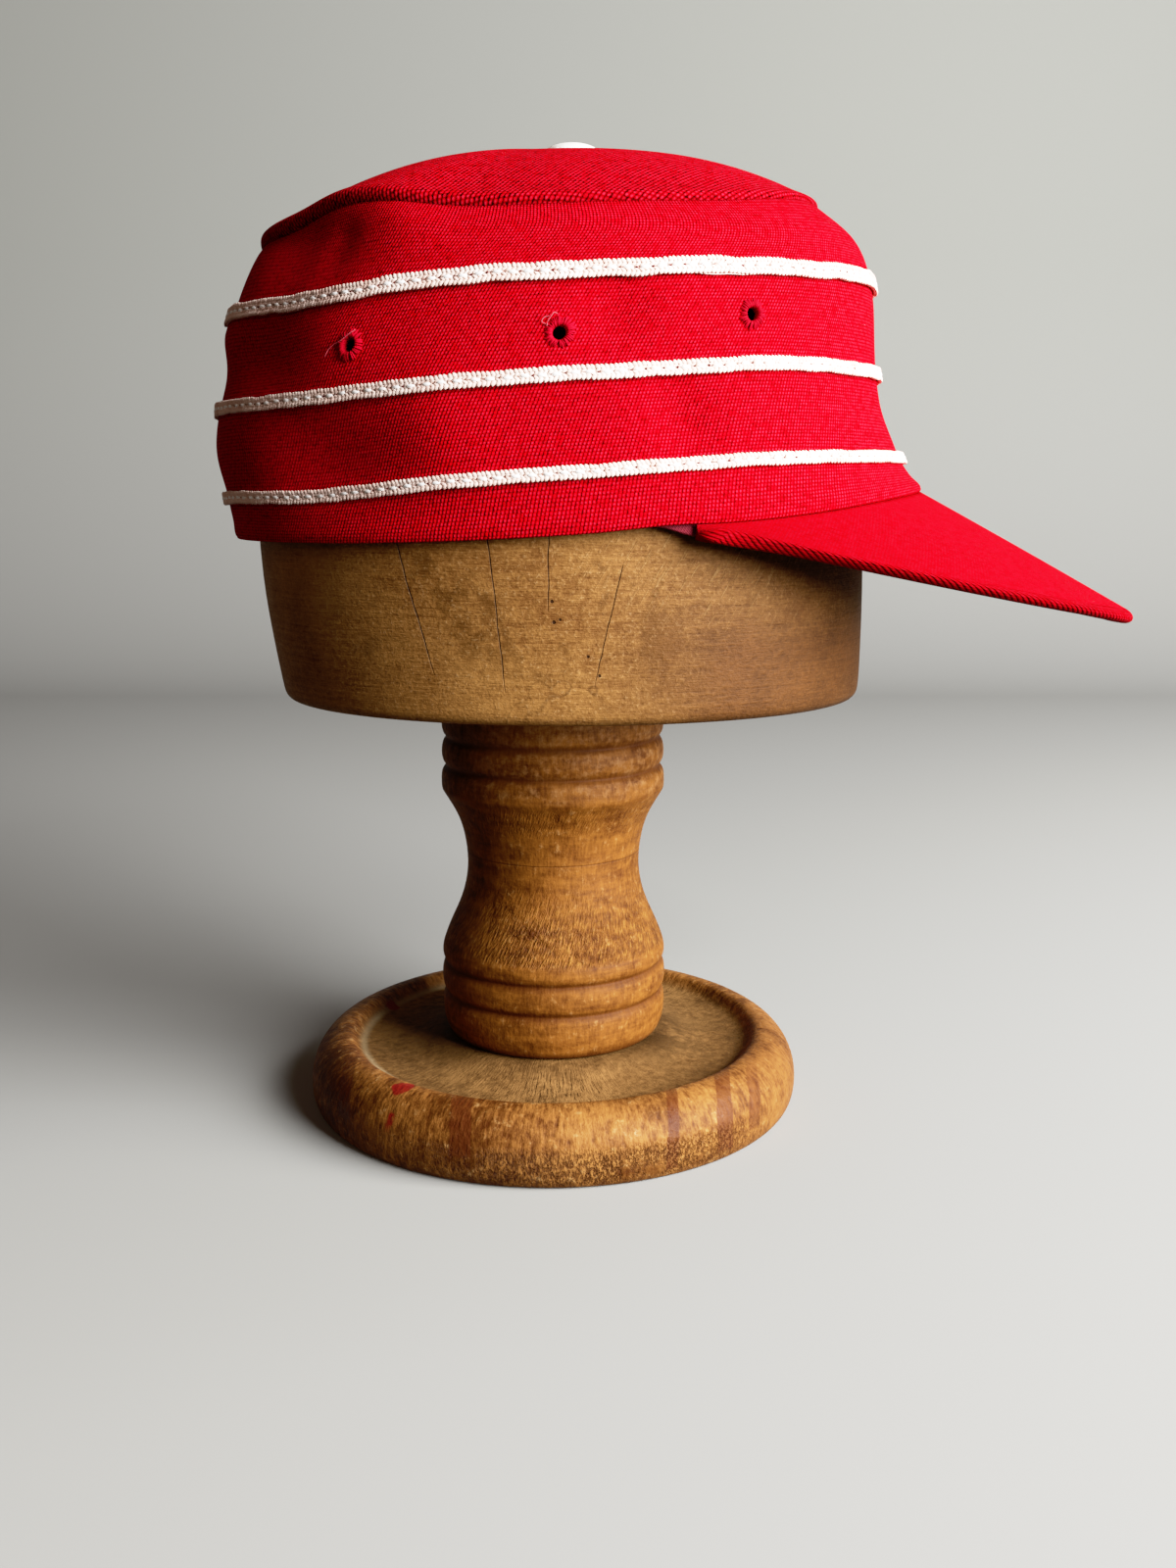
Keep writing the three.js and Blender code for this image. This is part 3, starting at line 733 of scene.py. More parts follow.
def panelLoops(turns):
    edge = crownPoint(turns, np.ones_like(turns), -(crown["cloth"] + crown["gap"]) * mm)
    middle = np.array([top["middleX"] * mm, 0, 0])
    out = edge - middle
    out[:, 2] = 0
    out = unit(out)
    names = ("lift", "over", "hang", "fullness")
    lift, over, hang, fullness = [roundCrown(*top[name], turns) for name in names]
    loops = []
    for reach in top["reaches"]:
        loop = middle + (edge - middle) * reach
        high = top["topZ"] * mm
        loop[:, 2] = high - (high - edge[:, 2] - lift * mm) * reach ** fullness
        loops.append(loop)
    roll = edge + out * over[:, None] * mm
    roll[:, 2] += (lift * top["bulge"] - hang * top["rollHang"]) * mm
    lip = edge + out * over[:, None] * top["lipReach"] * mm
    lip[:, 2] += (top["slit"] - hang) * mm
    sunk = edge - np.array([0, 0, top["sink"] * mm])
    tucked = edge - out * top["tuckIn"] * mm - np.array([0, 0, top["tuck"] * mm])
    return np.stack([*loops, roll, lip, sunk, tucked])


def addCrownTop():
    turns = turnsRound(top["columns"])
    loops = panelLoops(turns)
    place = np.linspace(0, len(loops) - 1, top["rows"])
    rows = through(loops[:, None], np.broadcast_to(place[:, None], (len(place), len(turns))))
    seam = len(top["reaches"]) + 1
    # painted shade: a narrow, dark line at the seam within a wider, fainter band of painted shade
    paintedShade = top["paintedShade"] * fade(place - seam, top["paintedShadeReach"])
    paintedShade = np.maximum(paintedShade, top["shade"] * fade(place - seam, top["shadeReach"]))[:, None]
    out = rows - rows[:1, :1]
    flat = runningLength(rows) / np.maximum(np.hypot(out[..., 0], out[..., 1]), 1e-6) / top["knit"]
    across, up = out[..., 0] * flat, out[..., 1] * flat    # on the cloth laid out flat
    made = sheetPiece("crownTop", rows[:, :-1], across, up, False, True, paintedShade)
    applyModifier(made, "SOLIDIFY", thickness=top["cloth"] * mm, offset=-1, use_even_offset=True)
    cloth = redCloth("redKnitTop", slant=knit["slant"], rowGap=0.6, gap="2e0001", glints=1.6)
    return dress(made, "red_cloth", ["crown_top"], cloth)


# Peak: a cloth-covered plate, with the cloth drawn round its edge
peak = {
    "cornerTurn": 74, "cornerReach": 5.0, "tipX": 178.0, "tipZ": 157.1, "edgeFall": 2.0, "plumpness": 0.94,
    "bow": 0.2, "thickness": 4.8, "cornerThickness": 4.2, "nose": 1.7, "rootInset": 0.6, "rootGap": 0.1,
    "undercut": 3.6, "tipUndercut": 0.15, "undercutLimit": 0.4, "underRun": 1.1, "tipReach": 0.4,
    "twillLean": 0.75, "twillPitch": 2.1, "shade": 0.55, "tipShade": 0.3, "shadeDepth": 1.8,
    "lastRun": 0.965, "lastShare": 1 - 1 / 60, "crowding": 0.97,
    "columns": 200, "rows": 40, "edgeRows": 17, "edgeBend": 80, "underRows": 24,
}


def peakFace(share, run):
    share, run = np.broadcast_arrays(np.asarray(share, float), np.asarray(run, float))
    corner = crownPoint(np.array(math.radians(peak["cornerTurn"])), np.array(0.0))
    root = crownPoint(share * math.radians(peak["cornerTurn"]), 0 * share, -peak["rootInset"] * mm)
    root[..., 2] -= peak["rootGap"] * mm
    angle = share * math.pi / 2
    startX = corner[0] + peak["cornerReach"] * mm
    x = startX + (peak["tipX"] * mm - startX) * np.abs(np.cos(angle)) ** peak["plumpness"]
    y = corner[1] * np.sign(share) * np.abs(np.sin(angle)) ** peak["plumpness"]
    z = peak["tipZ"] * mm + (corner[2] - peak["tipZ"] * mm) * np.abs(share) ** peak["edgeFall"]
    point = root + (np.stack([x, y, z], -1) - root) * run[..., None]
    point[..., 2] += peak["bow"] * mm * np.sin(run * math.pi) * (1 - share ** 2)
    return point


def addPeak():
    shares = np.sin(np.linspace(-1, 1, peak["columns"]) * math.pi / 2 * peak["crowding"])
    shares = (shares / shares[-1] * peak["lastShare"])[None, :]
    thick = (peak["thickness"] + (peak["cornerThickness"] - peak["thickness"]) * shares ** 2) * mm
    last = peak["lastRun"]

    def axes(run):
        step = 0.01
        ahead = unit(peakFace(shares, run + step) - peakFace(shares, run - step))
        beside = unit(peakFace(shares + step, run) - peakFace(shares - step, run))
        return ahead, unit(np.cross(ahead, beside))

    upper = np.linspace(0, last, peak["rows"])[:, None]
    ahead, up = axes(np.array([[last]]))
    bend = np.radians(np.linspace(peak["edgeBend"], -peak["edgeBend"], peak["edgeRows"]))[:, None]
    runLength = np.linalg.norm(peakFace(shares, last) - peakFace(shares, 0.0), axis=-1)
    besideTip = np.clip(np.abs(shares) / peak["tipReach"], 0, 1)
    undercut = peak["undercut"] * mm * (peak["tipUndercut"] + (1 - peak["tipUndercut"]) * besideTip)
    undercut = np.minimum(undercut, peak["undercutLimit"] * runLength)
    nose = np.linalg.norm(peakFace(shares, 1.0) - peakFace(shares, last), axis=-1) + peak["nose"] * mm
    core = peakFace(shares, last) - up * thick[..., None] / 2
    out = np.cos(bend) * nose - (1 - np.sin(bend)) / 2 * undercut
    tip = core + ahead * out[..., None] + up * (np.sin(bend) * thick / 2)[..., None]
    lower = last - peak["underRun"] * undercut / runLength * last
    lower = np.linspace(1, 0, peak["underRows"])[:, None] * lower
    under = peakFace(shares, lower) - axes(lower)[1] * thick[..., None]
    rows = np.concatenate([peakFace(shares, upper), tip, under])
    ends = [peakFace(np.array([sign * 1.0]), 0.5) for sign in (-1, 1)]
    for end in ends:
        end[..., 2] = peakFace(np.array([1.0]), 0.0)[..., 2] - peak["cornerThickness"] / 2 * mm
    caps = [np.broadcast_to(end[None], (len(rows), 1, 3)) for end in ends]
    rows = np.concatenate([caps[0], rows, caps[1]], axis=1)
    down = runningLength(np.concatenate([rows, rows[:1]]))
    down = down - down[len(upper) - 1]    # measured from where the cloth bends over the edge
    across = lengthAlong(rows[len(upper):len(upper) + 4], 1) / np.where(down > 0, peak["twillPitch"], 1)
    across = across - peak["twillLean"] * np.maximum(0, down)
    besideTip = np.concatenate([[[1]], besideTip, [[1]]], axis=1)
    # painted shade on the cloth drawn round the peak's edge, growing from where it bends over, weaker near
    # the tip
    shade = peak["shade"] * np.clip(down[:-1] / mm / peak["shadeDepth"], 0, 1)
    shade = shade * (peak["tipShade"] + (1 - peak["tipShade"]) * besideTip)
    made = sheetPiece("peakCover", rows, across, down, True, False, shade)
    cloth = redCloth("redTwill", slant=0.0, rowGap=0.35, gap="7a0007", glints=0.6, shift=0.0)
    return dress(made, "red_cloth", ["peak"], cloth)


# Sweatband: the woven band inside the rim, a little below it beside the peak
sweatband = {
    "thickness": 1.2, "height": 0.2, "lowRise": 0.03, "rows": 8, "columns": 300, "hidden": 0.6,
    "drop": 3.8, "dropTurn": 72, "dropReach": 5, "thread": 0.8 * mm,
}


def addSweatband():
    turns = turnsRound(sweatband["columns"])[None, :]
    radius = sweatband["thickness"] / 2 * mm
    fold, tuck = foldedEdge(radius)
    rises = np.linspace(sweatband["lowRise"], sweatband["height"], sweatband["rows"])
    rise = np.concatenate([0 * fold, rises, rises[::-1]])[:, None]
    face = -(crown["cloth"] + crown["gap"]) * mm
    outset = np.concatenate([fold, 0 * rises, 0 * rises - 2 * radius])[:, None] + face
    lift = np.concatenate([tuck, 0 * rises, 0 * rises])[:, None] + 0 * turns
    rows = crownPoint(turns, rise, outset, lift)
    drop = sweatband["drop"] * bothSides(turns, sweatband["dropTurn"], sweatband["dropReach"])
    drop = drop - sweatband["hidden"]
    rows[..., 2] -= drop * mm * np.maximum(0, 1 - rise / sweatband["height"])
    across = np.broadcast_to(lengthAlong(rows[8:12], 1), (len(rise) + 1, turns.shape[1]))
    up = lengthAlong(np.concatenate([rows, rows[:1]]), 0)[:, None] + 0 * turns
    made = sheetPiece("sweatbandCloth", rows[:, :-1], across, up, True, True)
    return dress(made, "pale_band", ["sweatband"], paleBand())


def plainWeave(across, up, thread):    # 0 to 1 over each crossing of threads
    return (across * (fullTurn / thread)).sin() * (up * (fullTurn / thread)).sin() * 0.5 + 0.5


def paleBand():
    made = Finish("paleBand")
    along, up, _ = made.parts(made.node("UVMap", {"uv_map": "cloth"}))
    weave = plainWeave(along, up, sweatband["thread"])
    grime = made.noise(made.place(), 60, 3.0)
    # the band's dark red-pink is partly its own colour and partly painted shade
    wearAndShade = made.mix(grime.ease(0.35, 0.75), "7c2230", "5c1822")
    made.set(colour=made.mix(weave * 0.35, wearAndShade, "4c121a"), roughness=0.85, specular=0.2)
    made.bump(weave, 0.15 * mm)
    return made.material


# Button: a domed button covered in white cloth, gathered at its edge
button = {
    "radius": 9.0, "height": 3.8, "foot": 290.5, "gathers": 26, "gatherDepth": 0.22, "gatherHeight": 1.6,
    "gatherInside": 4, "segments": 104, "rings": 48, "trim": 0.02, "thread": 0.7 * mm,
}


def addButton():
    bpy.ops.object.select_all(action="DESELECT")
    fineness = {"segments": button["segments"], "ring_count": button["rings"]}
    bpy.ops.mesh.primitive_uv_sphere_add(radius=button["radius"] * mm, **fineness)
    made = startEdit("buttonCover")
    bpy.ops.transform.resize(value=(1, 1, button["height"] / button["radius"]))
    cut = (0, 0, button["trim"] * mm)
    bpy.ops.mesh.bisect(plane_co=cut, plane_no=(0, 0, 1), use_fill=True, clear_inner=True)
    bpy.ops.mesh.select_all(action="SELECT")
    bpy.ops.transform.translate(value=(top["middleX"] * mm, 0, button["foot"] * mm))
    bpy.ops.object.mode_set(mode="OBJECT")
    for vertex in made.data.vertices:
        x, y = vertex.co.x - top["middleX"] * mm, vertex.co.y
        low = max(0.0, 1 - (vertex.co.z - button["foot"] * mm) / (button["gatherHeight"] * mm))
        fold = math.sin(math.atan2(y, x) * button["gathers"]) * 0.5 - 0.5
        size = math.hypot(x, y)
        if size > button["gatherInside"] * mm:
            change = 1 + fold * low * button["gatherDepth"] * mm / size
            vertex.co.x = top["middleX"] * mm + x * change
            vertex.co.y = y * change
    return dress(made, "white_braid", ["top_button"], buttonCloth())


def buttonCloth():
    made = Finish("buttonCloth")
    place = made.place()
    x, y, _ = made.parts(place)
    weave = plainWeave(x, y, button["thread"])
    made.set(colour=made.mix(weave * 0.3, "f4efe9", "cfc5bd"), roughness=0.75, specular=0.3)
    made.bump(weave + made.noise(place, 3000) * 0.3, 0.12 * mm)
    return made.material


# Stand: turned wood, made by spinning a profile of radius and height, in millimetres
column = {
    "profile": (
        (0, 21.6), (32.8, 21.6), (33.6, 21.8), (35.2, 24.4), (36.0, 28.2), (36.1, 32.8), (35.7, 34.4),
        (34.5, 35.5), (35.6, 36.6), (36.1, 38.0), (36.2, 40.6), (36.0, 43.0), (35.6, 44.1), (34.6, 45.1),
        (35.5, 46.1), (36.0, 47.4), (36.0, 49.2), (35.5, 51.4), (33.4, 57), (30.2, 63.4), (28.1, 70),
        (27.2, 77.5), (28.2, 86), (30.1, 92.5), (33.0, 97.6), (35.1, 100.9), (35.5, 101.8), (35.5, 106.2),
        (34.9, 107.8), (33.6, 108.8), (34.6, 109.9), (35.2, 111.4), (35.3, 113.4), (35.1, 115.4),
        (34.6, 116.9), (33.6, 118), (34.7, 119.2), (35.3, 120.8), (35.3, 130.9), (35.1, 131.2), (0, 131.2),
    ),
    "steps": 60,
}
base = {
    "profile": (
        (0, 0), (75.8, 0), (76.7, 0.15), (78.4, 1.9), (79.2, 6.5), (78.6, 12.5), (75.8, 17.8), (71.5, 21.2),
        (67.8, 21.9), (65.6, 21.3), (64.4, 19.8), (62.8, 18.1), (60.5, 17.5), (53, 17.4), (46, 18.2),
        (41, 19.6), (37.6, 21.0), (34, 21.3), (0, 21.3),
    ),
    "steps": 72,
}


def turnedPiece(name, shape):
    bpy.ops.object.select_all(action="DESELECT")
    bpy.ops.mesh.primitive_plane_add(size=mm)
    made = startEdit(name)
    bpy.ops.mesh.merge(type="CENTER")
    reached = (0.0, 0.0)
    for number, (radius, z) in enumerate(shape["profile"]):
        step = ((radius - reached[0]) * mm, 0, (z - reached[1]) * mm)
        if number == 0:
            bpy.ops.transform.translate(value=step)
        else:
            bpy.ops.mesh.extrude_vertices_move(TRANSFORM_OT_translate={"value": step})
        reached = (radius, z)
    bpy.ops.mesh.select_all(action="SELECT")
    bpy.ops.mesh.spin(steps=shape["steps"], angle=fullTurn, center=(0, 0, 0), axis=(0, 0, 1))
    closeEdit(weld=0.02)
    return rounded(made)


# Block: an oval wooden block with a low dome that the cap hides. A row for each level gives its
# height, front, back and half width.
block = {
    "levels": (
        (131.5, 92.0, -80.0, 74.0), (131.7, 93.6, -81.6, 75.6), (133.0, 95.0, -83.0, 77.0),
        (136, 95.6, -83.7, 77.7), (152.9, 95.8, -86.6, 78.5), (172, 95.8, -89.3, 79.0),
        (215, 93.5, -90.0, 79.0), (243, 91.0, -88.5, 77.0), (257, 85.0, -80.0, 72.0), (267, 69, -66, 60),
        (276, 55, -50, 47), (282, 38, -34, 31), (286, 18, -14, 14),
    ),
    "steps": 72, "inset": 12,
}


def addBlock():
    bpy.ops.object.select_all(action="DESELECT")
    levels = block["levels"]
    z, frontX, backX, halfWidth = levels[0]
    middle = (frontX + backX) / 2
    bpy.ops.mesh.primitive_circle_add(vertices=block["steps"], radius=mm, fill_type="NGON")
    made = startEdit("blockWood")
    bpy.ops.transform.resize(value=((frontX - backX) / 2, halfWidth, 1), center_override=(0, 0, 0))
    bpy.ops.transform.translate(value=(middle * mm, 0, z * mm))
    bpy.ops.mesh.inset(thickness=block["inset"] * mm)
    bpy.ops.mesh.select_all(action="SELECT")
    bpy.ops.mesh.region_to_loop()
    for nextZ, nextFront, nextBack, nextHalf in levels[1:]:
        nextMiddle = (nextFront + nextBack) / 2
        step = ((nextMiddle - middle) * mm, 0, (nextZ - z) * mm)
        bpy.ops.mesh.extrude_edges_move(TRANSFORM_OT_translate={"value": step})
        size = ((nextFront - nextBack) / (frontX - backX), nextHalf / halfWidth, 1)
        bpy.ops.transform.resize(value=size, center_override=(nextMiddle * mm, 0, nextZ * mm))
        z, frontX, backX, halfWidth, middle = nextZ, nextFront, nextBack, nextHalf, nextMiddle
    bpy.ops.mesh.edge_face_add()
    closeEdit()
    return rounded(made)


# Finishes of the wood. Each is laid out round its piece: along is the way round from the middle of
# the near side and z the height, in metres, so that the join of the two ends is on the far side.
def roundCoordinates(made, middleX, radius):
    x, y, z = made.parts(made.place())
    along = (x - middleX * mm).angleFrom(0 - y) * (radius * mm)
    return x, y, z, along


def nearSide(y):    # 1 on the near side, softly down to 0 on the far side, where along jumps
    return (0 - y).ease(-0.06, 0.01)


def awayFrom(x, y, placeX, placeY):    # distance from a place that is given in mm
    return ((x - placeX * mm) ** 2 + (y - placeY * mm) ** 2) ** 0.5


def woodNoise(made, along, z, perAlong, perZ, detail=3.0, roughness=0.6):
    return made.noise(made.vector(along * perAlong, z * perZ, 0.0), 1.0, detail, roughness)


# Drying cracks on the near side, as X and Z of both ends and half width, and worm holes with their
# radius, in mm
blockCracks = [
    (-41.2, 186, -29.6, 144, 0.24),
    (-15.4, 186, -10.5, 140, 0.21),
    (1.2, 188, 0.6, 161, 0.2),
    (20.0, 173, 12.4, 141, 0.18),
]
blockHoles = [
    (1.8, 165, 0.5), (2.3, 159.6, 0.55), (3.9, 160.3, 0.4), (11.2, 150.6, 0.45), (14.2, 145.5, 0.45),
]


def blockFinish():
    made = Finish("blockFinish")
    place = made.place()
    x, y, z, along = roundCoordinates(made, 3.0, 86)
    grain = woodNoise(made, along, z, 34, 1100, 4.0)
    fibres = woodNoise(made, along, z, 380, 2600, 2.0)
    mottle = made.noise(place, 420, 4.0, 0.7)
    blotch = made.noise(place, 58, 6.0, 0.7)
    broad = made.noise(place, 16, 2.0)
    fleck = made.noise(place, 1100, 3.0, 0.7)
    tone = grain * 0.35 + fibres * 0.3 + mottle * 0.25 + fleck * 0.3 + blotch * 0.45 + (broad - 0.5) * 0.4
    tone = tone.ease(0.55, 1.1)
    wood = made.mix(tone, "543113", "a27541")
    stain = blotch.ease(0.5, 0.6) * (1 - broad.ease(0.46, 0.64))
    wood = made.mix(stain * 0.65, wood, "472a0d")
    # painted light: the left of the near side, which lies in shade, is made paler
    paintedLeftLight = (0 - along).ease(0.035, 0.1) * nearSide(y) * 0.4
    wood = made.mix(paintedLeftLight, wood, made.mix(tone, "744d24", "be955e"))
    # darker towards the right end of the near side: partly handling, partly a painted shadow cast by the
    # peak, less at the very top
    handlingAndPeakShadow = along.ease(0.0, 0.055) * nearSide(y) * (0.95 - z.ease(0.15, 0.168) * 0.4)
    wood = made.mix(handlingAndPeakShadow, wood, made.mix(tone, "341d0a", "5c3818"))
    wood = made.mix(fleck.ease(0.56, 0.72) * (1 - handlingAndPeakShadow) * 0.35, wood, "b29168")
    tide = made.noise(place, 24, 3.0, 0.55)
    mark = tide.near(0.53, 0.007) * (1 - z.ease(0.155, 0.17)) * along.near(0.02, 0.06) * 0.6
    wood = made.mix(mark, wood, "3f240c")
    scratches = made.noise(made.vector(along * 1900 - z * 1300, along * 60 + z * 80, 0.0), 1.0, 2.0)
    scratched = scratches.ease(0.57, 0.66) * z.ease(0.15, 0.175) * along.near(0.045, 0.06)
    wood = made.mix(scratched * 0.25, wood, "b59060")
    wander = (made.noise(place, 110, 2.0) - 0.5) * 1.2 * mm
    cracks = 0.0
    for topX, topZ, footX, footZ, half in blockCracks:
        slope = (topX - footX) / (topZ - footZ)
        line = x - (z - footZ * mm) * slope - footX * mm + wander
        within = z.ease(footZ * mm, (footZ + 9) * mm) * (1 - z.ease(topZ * mm, (topZ + 1.5) * mm))
        cracks = (line.near(0.0, half * mm) * within).larger(cracks)
    for holeX, holeZ, size in blockHoles:
        cracks = (1 - awayFrom(x, z, holeX, holeZ).ease(size * 0.6 * mm, size * mm)).larger(cracks)
    cracks = cracks * (0 - y).ease(0.02, 0.04)
    wood = made.mix(cracks * 0.9, wood, "1d0d04")
    # painted shade: a dark line along the rounded bottom edge
    wearAndShade = 1 - z.ease(0.1325, 0.1345)
    wood = made.mix(wearAndShade * 0.35, wood, "2a190a")
    # painted shade: the wood under the cap is made almost black
    covered = z.ease(0.205, 0.225)
    made.set(colour=made.mix(covered * 0.9, wood, "110904"))
    made.set(roughness=0.66 - tone * 0.12, specular=0.1)
    relief = fibres * 0.3 + grain * 0.3 + mottle * 0.5 + fleck * 0.45 - cracks * 2.0 + scratched * 0.3
    made.bump(relief, 0.45 * mm)
    return made.material


# Heights of the column's grooves, in mm
columnGrooves = (22.3, 35.5, 45.1, 108.8, 118.0, 131.2)


def columnFinish():
    made = Finish("columnFinish")
    place = made.place()
    _, _, z, along = roundCoordinates(made, 0.0, 34)
    streaks = woodNoise(made, along, z, 1100, 220)
    smear = woodNoise(made, along, z, 60, 320, 4.0, 0.65)
    mottle = made.noise(place, 380, 4.0, 0.7)
    blotch = made.noise(place, 62, 6.0, 0.7)
    tone = (streaks * 0.35 + smear * 0.5 + mottle * 0.35 + blotch * 0.6).ease(0.62, 1.18)
    wood = made.mix(tone, "421f05", "8c5924")
    wood = made.mix(blotch.ease(0.54, 0.66) * 0.45, wood, "4b2408")
    slant = made.noise(made.vector(along * 1500 - z * 640, along * 150 + z * 330, 0.0), 1.0, 2.0, 0.6)
    lowTorn = z.ease(0.0502, 0.0525) * (1 - z.ease(0.058, 0.08))
    highTorn = z.ease(0.088, 0.095) * (1 - z.ease(0.098, 0.101)) * 0.5
    tornZone = (lowTorn + highTorn) * blotch.ease(0.3, 0.45)
    wood = made.mix(slant.ease(0.5, 0.62) * tornZone * 0.4, wood, "3d1d06")
    wood = made.mix((1 - slant).ease(0.54, 0.64) * tornZone * 0.35, wood, "aa7839")
    wood = made.mix(mottle.ease(0.56, 0.7) * streaks.ease(0.4, 0.6) * 0.4, wood, "a88255")
    grooves = 0.0
    for grooveZ in columnGrooves:
        grooves = z.near(grooveZ * mm, 2.2 * mm).larger(grooves)
    wood = made.mix(grooves * (0.2 + mottle * 0.8), wood, "371404")
    wearAndShade = z.ease(0.1, 0.106) * mottle.ease(0.45, 0.62) * (1 - grooves) * 0.35
    wood = made.mix(wearAndShade, wood, "8f6641")
    waist = z.near(0.0812, 0.3 * mm) * 0.45
    wood = made.mix(waist, wood, "301403")
    made.set(colour=wood, roughness=0.55 + smear * 0.15, specular=0.11)
    made.bump(streaks * 0.2 + mottle * 0.6 - slant * tornZone * 2.2 - waist * 0.5, 0.45 * mm)
    return made.material


# Dark runs of varnish down the rim, as X, half width and Z of the foot, and red paint spots as X, Y
# and radius, in mm
baseDrips = [(-25, 3.2, 8), (35.5, 1.8, 2.5), (51.4, 2.8, 3), (61, 2.0, 6), (-62, 2.4, 8)]
paintSpots = [(-56.8, 25, 2.6), (-43.4, -54.6, 3.0), (-46.5, -61.5, 1.1)]


def baseFinish():
    made = Finish("baseFinish")
    place = made.place()
    x, y, z, along = roundCoordinates(made, 0.0, 77)
    radius = (x * x + y * y) ** 0.5
    streaks = made.noise(made.vector(along * 900, z * 260, radius * 260), 1.0, 3.0, 0.6)
    mottle = made.noise(place, 360, 4.0, 0.72)
    blotch = made.noise(place, 50, 6.0, 0.7)
    broad = made.noise(place, 17, 2.0)
    tone = (streaks * 0.6 + mottle * 0.6 + blotch * 0.6 + (broad - 0.5) * 0.5).ease(0.66, 1.14)
    rim = made.mix(tone, "48240a", "956331")
    rim = made.mix((1 - blotch).ease(0.52, 0.64) * 0.35, rim, "46270b")
    ragged = (made.noise(place, 85, 4.0) - 0.5) * 3 * mm
    rim = made.mix(mottle.ease(0.58, 0.7) * 0.35, rim, "b29061")
    drips = 0.0
    for dripX, half, foot in baseDrips:
        across = 1 - abs(x - dripX * mm + ragged).ease((half - 0.4) * mm, half * mm)
        drips = (across * (z + ragged).ease(foot * mm, (foot + 1.5) * mm)).larger(drips)
    drips = drips * (0 - y).ease(0.02, 0.05) * radius.ease(0.064, 0.07)
    rim = made.mix(drips * (0.5 + mottle * 0.4), rim, "4f2511")
    rim = made.mix(along.ease(0.04, 0.1) * nearSide(y) * 0.6, rim, made.mix(tone, "3d1f0a", "724721"))
    torn = made.noise(made.vector(along * 1900, z * 900, radius * 500), 1.0, 3.0, 0.65)
    low = z.ease(0.0005, 0.003) * (1 - z.ease(0.0085, 0.0135))
    lowFront = low * along.near(0.014, 0.075) * blotch.ease(0.36, 0.5)
    cavity = torn.ease(0.46, 0.62) * lowFront
    rim = made.mix(cavity * 0.45, rim, "371906")
    rim = made.mix((1 - torn).ease(0.52, 0.64) * lowFront * 0.3, rim, "af844d")
    rays = made.noise(made.vector(along * 900, radius * 160, 0.0), 1.0, 3.0)
    patch = along.near(0.006, 0.035) * radius.near(0.049, 0.015) * (0 - y).ease(0.0, 0.02)
    dustAndPaintedLight = made.mix((blotch * 0.6 + mottle * 0.4).ease(0.36, 0.64), "53391d", "926b3f")
    # painted highlight: a pale line on the left inner edge of the dish
    pale = radius.near(0.0622, 0.0022) * (0 - x).ease(0.0, 0.04) * 0.5
    dustAndPaintedLight = made.mix(pale, dustAndPaintedLight, "ae9b78")
    dustAndPaintedLight = made.mix(rays.ease(0.5, 0.64) * patch * 0.55, dustAndPaintedLight, "32220f")
    # painted shade: darker blotchy patches right and left on the near side of the dish, and darker round
    # the foot of the column
    shaded = along.ease(0.02, 0.09) * blotch.ease(0.42, 0.56) * 0.6
    shaded = (shaded + (0 - along).ease(0.01, 0.07) * blotch.ease(0.36, 0.52) * 0.45) * nearSide(y)
    dustAndPaintedLight = made.mix(shaded + (1 - radius.ease(0.036, 0.048)) * 0.3, dustAndPaintedLight, "34220d")
    inside = 1 - radius.ease(0.0615, 0.0655)
    wood = made.mix(inside, rim, dustAndPaintedLight)
    spots = 0.0
    uneven = (made.noise(place, 260) - 0.5) * 5 * mm
    for spotX, spotY, size in paintSpots:
        away = awayFrom(x, y, spotX, spotY) + uneven
        spots = (1 - away.ease((size - 0.5) * mm, (size + 0.3) * mm)).larger(spots)
    wood = made.mix(spots * 0.85 * z.ease(0.01, 0.014), wood, "780f13")
    made.set(colour=wood, roughness=0.55 + inside * 0.2 + cavity * 0.15 - drips * 0.08, specular=0.11)
    made.set(coat=mottle.ease(0.56, 0.66) * blotch.ease(0.5, 0.6) * (1 - inside) * 0.2, coatRoughness=0.25)
    made.bump(streaks * 0.6 + mottle * 0.7 - cavity * 1.6 - rays.ease(0.5, 0.64) * patch * 0.6, 0.5 * mm)
    return made.material


def addStand():
    dress(addBlock(), "block_wood", ["stand_block"], blockFinish())
    dress(turnedPiece("columnWood", column), "column_wood", ["stand_column"], columnFinish())
    dress(turnedPiece("baseWood", base), "foot_wood", ["stand_base"], baseFinish())


addStand()
crownSide = addCrownSide()
crownTop = addCrownTop()
peakCover = addPeak()
sweatbandCloth = addSweatband()
buttonCover = addButton()
# whiteYarn is the braid's cream colour with a pink tint that is painted red light thrown back from the
# crown; braidShade, the strip seen between the stitches, is darker and pinker, as painted shade and painted
# red light
whiteYarn = threadFinish("whiteYarn", "fae6dc", "d0a496", 0.08 * mm, 0.2)
seamSilk = threadFinish("seamSilk", "ffffff", "f6f0ec", 0.02 * mm, 0.9, 0.3)
# needleHole is painted shade: the dark colour of the lumps in the needle holes
needleHole = threadFinish("needleHole", "662424", "3d0d0f", 0.03 * mm, 0.1)
braidShade = threadFinish("braidShade", "e6b6aa", "c89086", 0.04 * mm, 0.1)
redThread = threadFinish("redThread", "c40a28", "7c0312", 0.05 * mm, 0.06)
braidFinishes = (whiteYarn, seamSilk, needleHole, braidShade)
braids = [addBraid(number, *row, braidFinishes) for number, row in enumerate(braid["rows"])]
# painted light: the loose thread ends get a lighter, lit copy of the red thread
paintedLitThread = threadFinish("paintedLitThread", "cc5e68", "a22735", 0.03 * mm, 0.1)
eyelets = addEyelets(redThread, paintedLitThread)


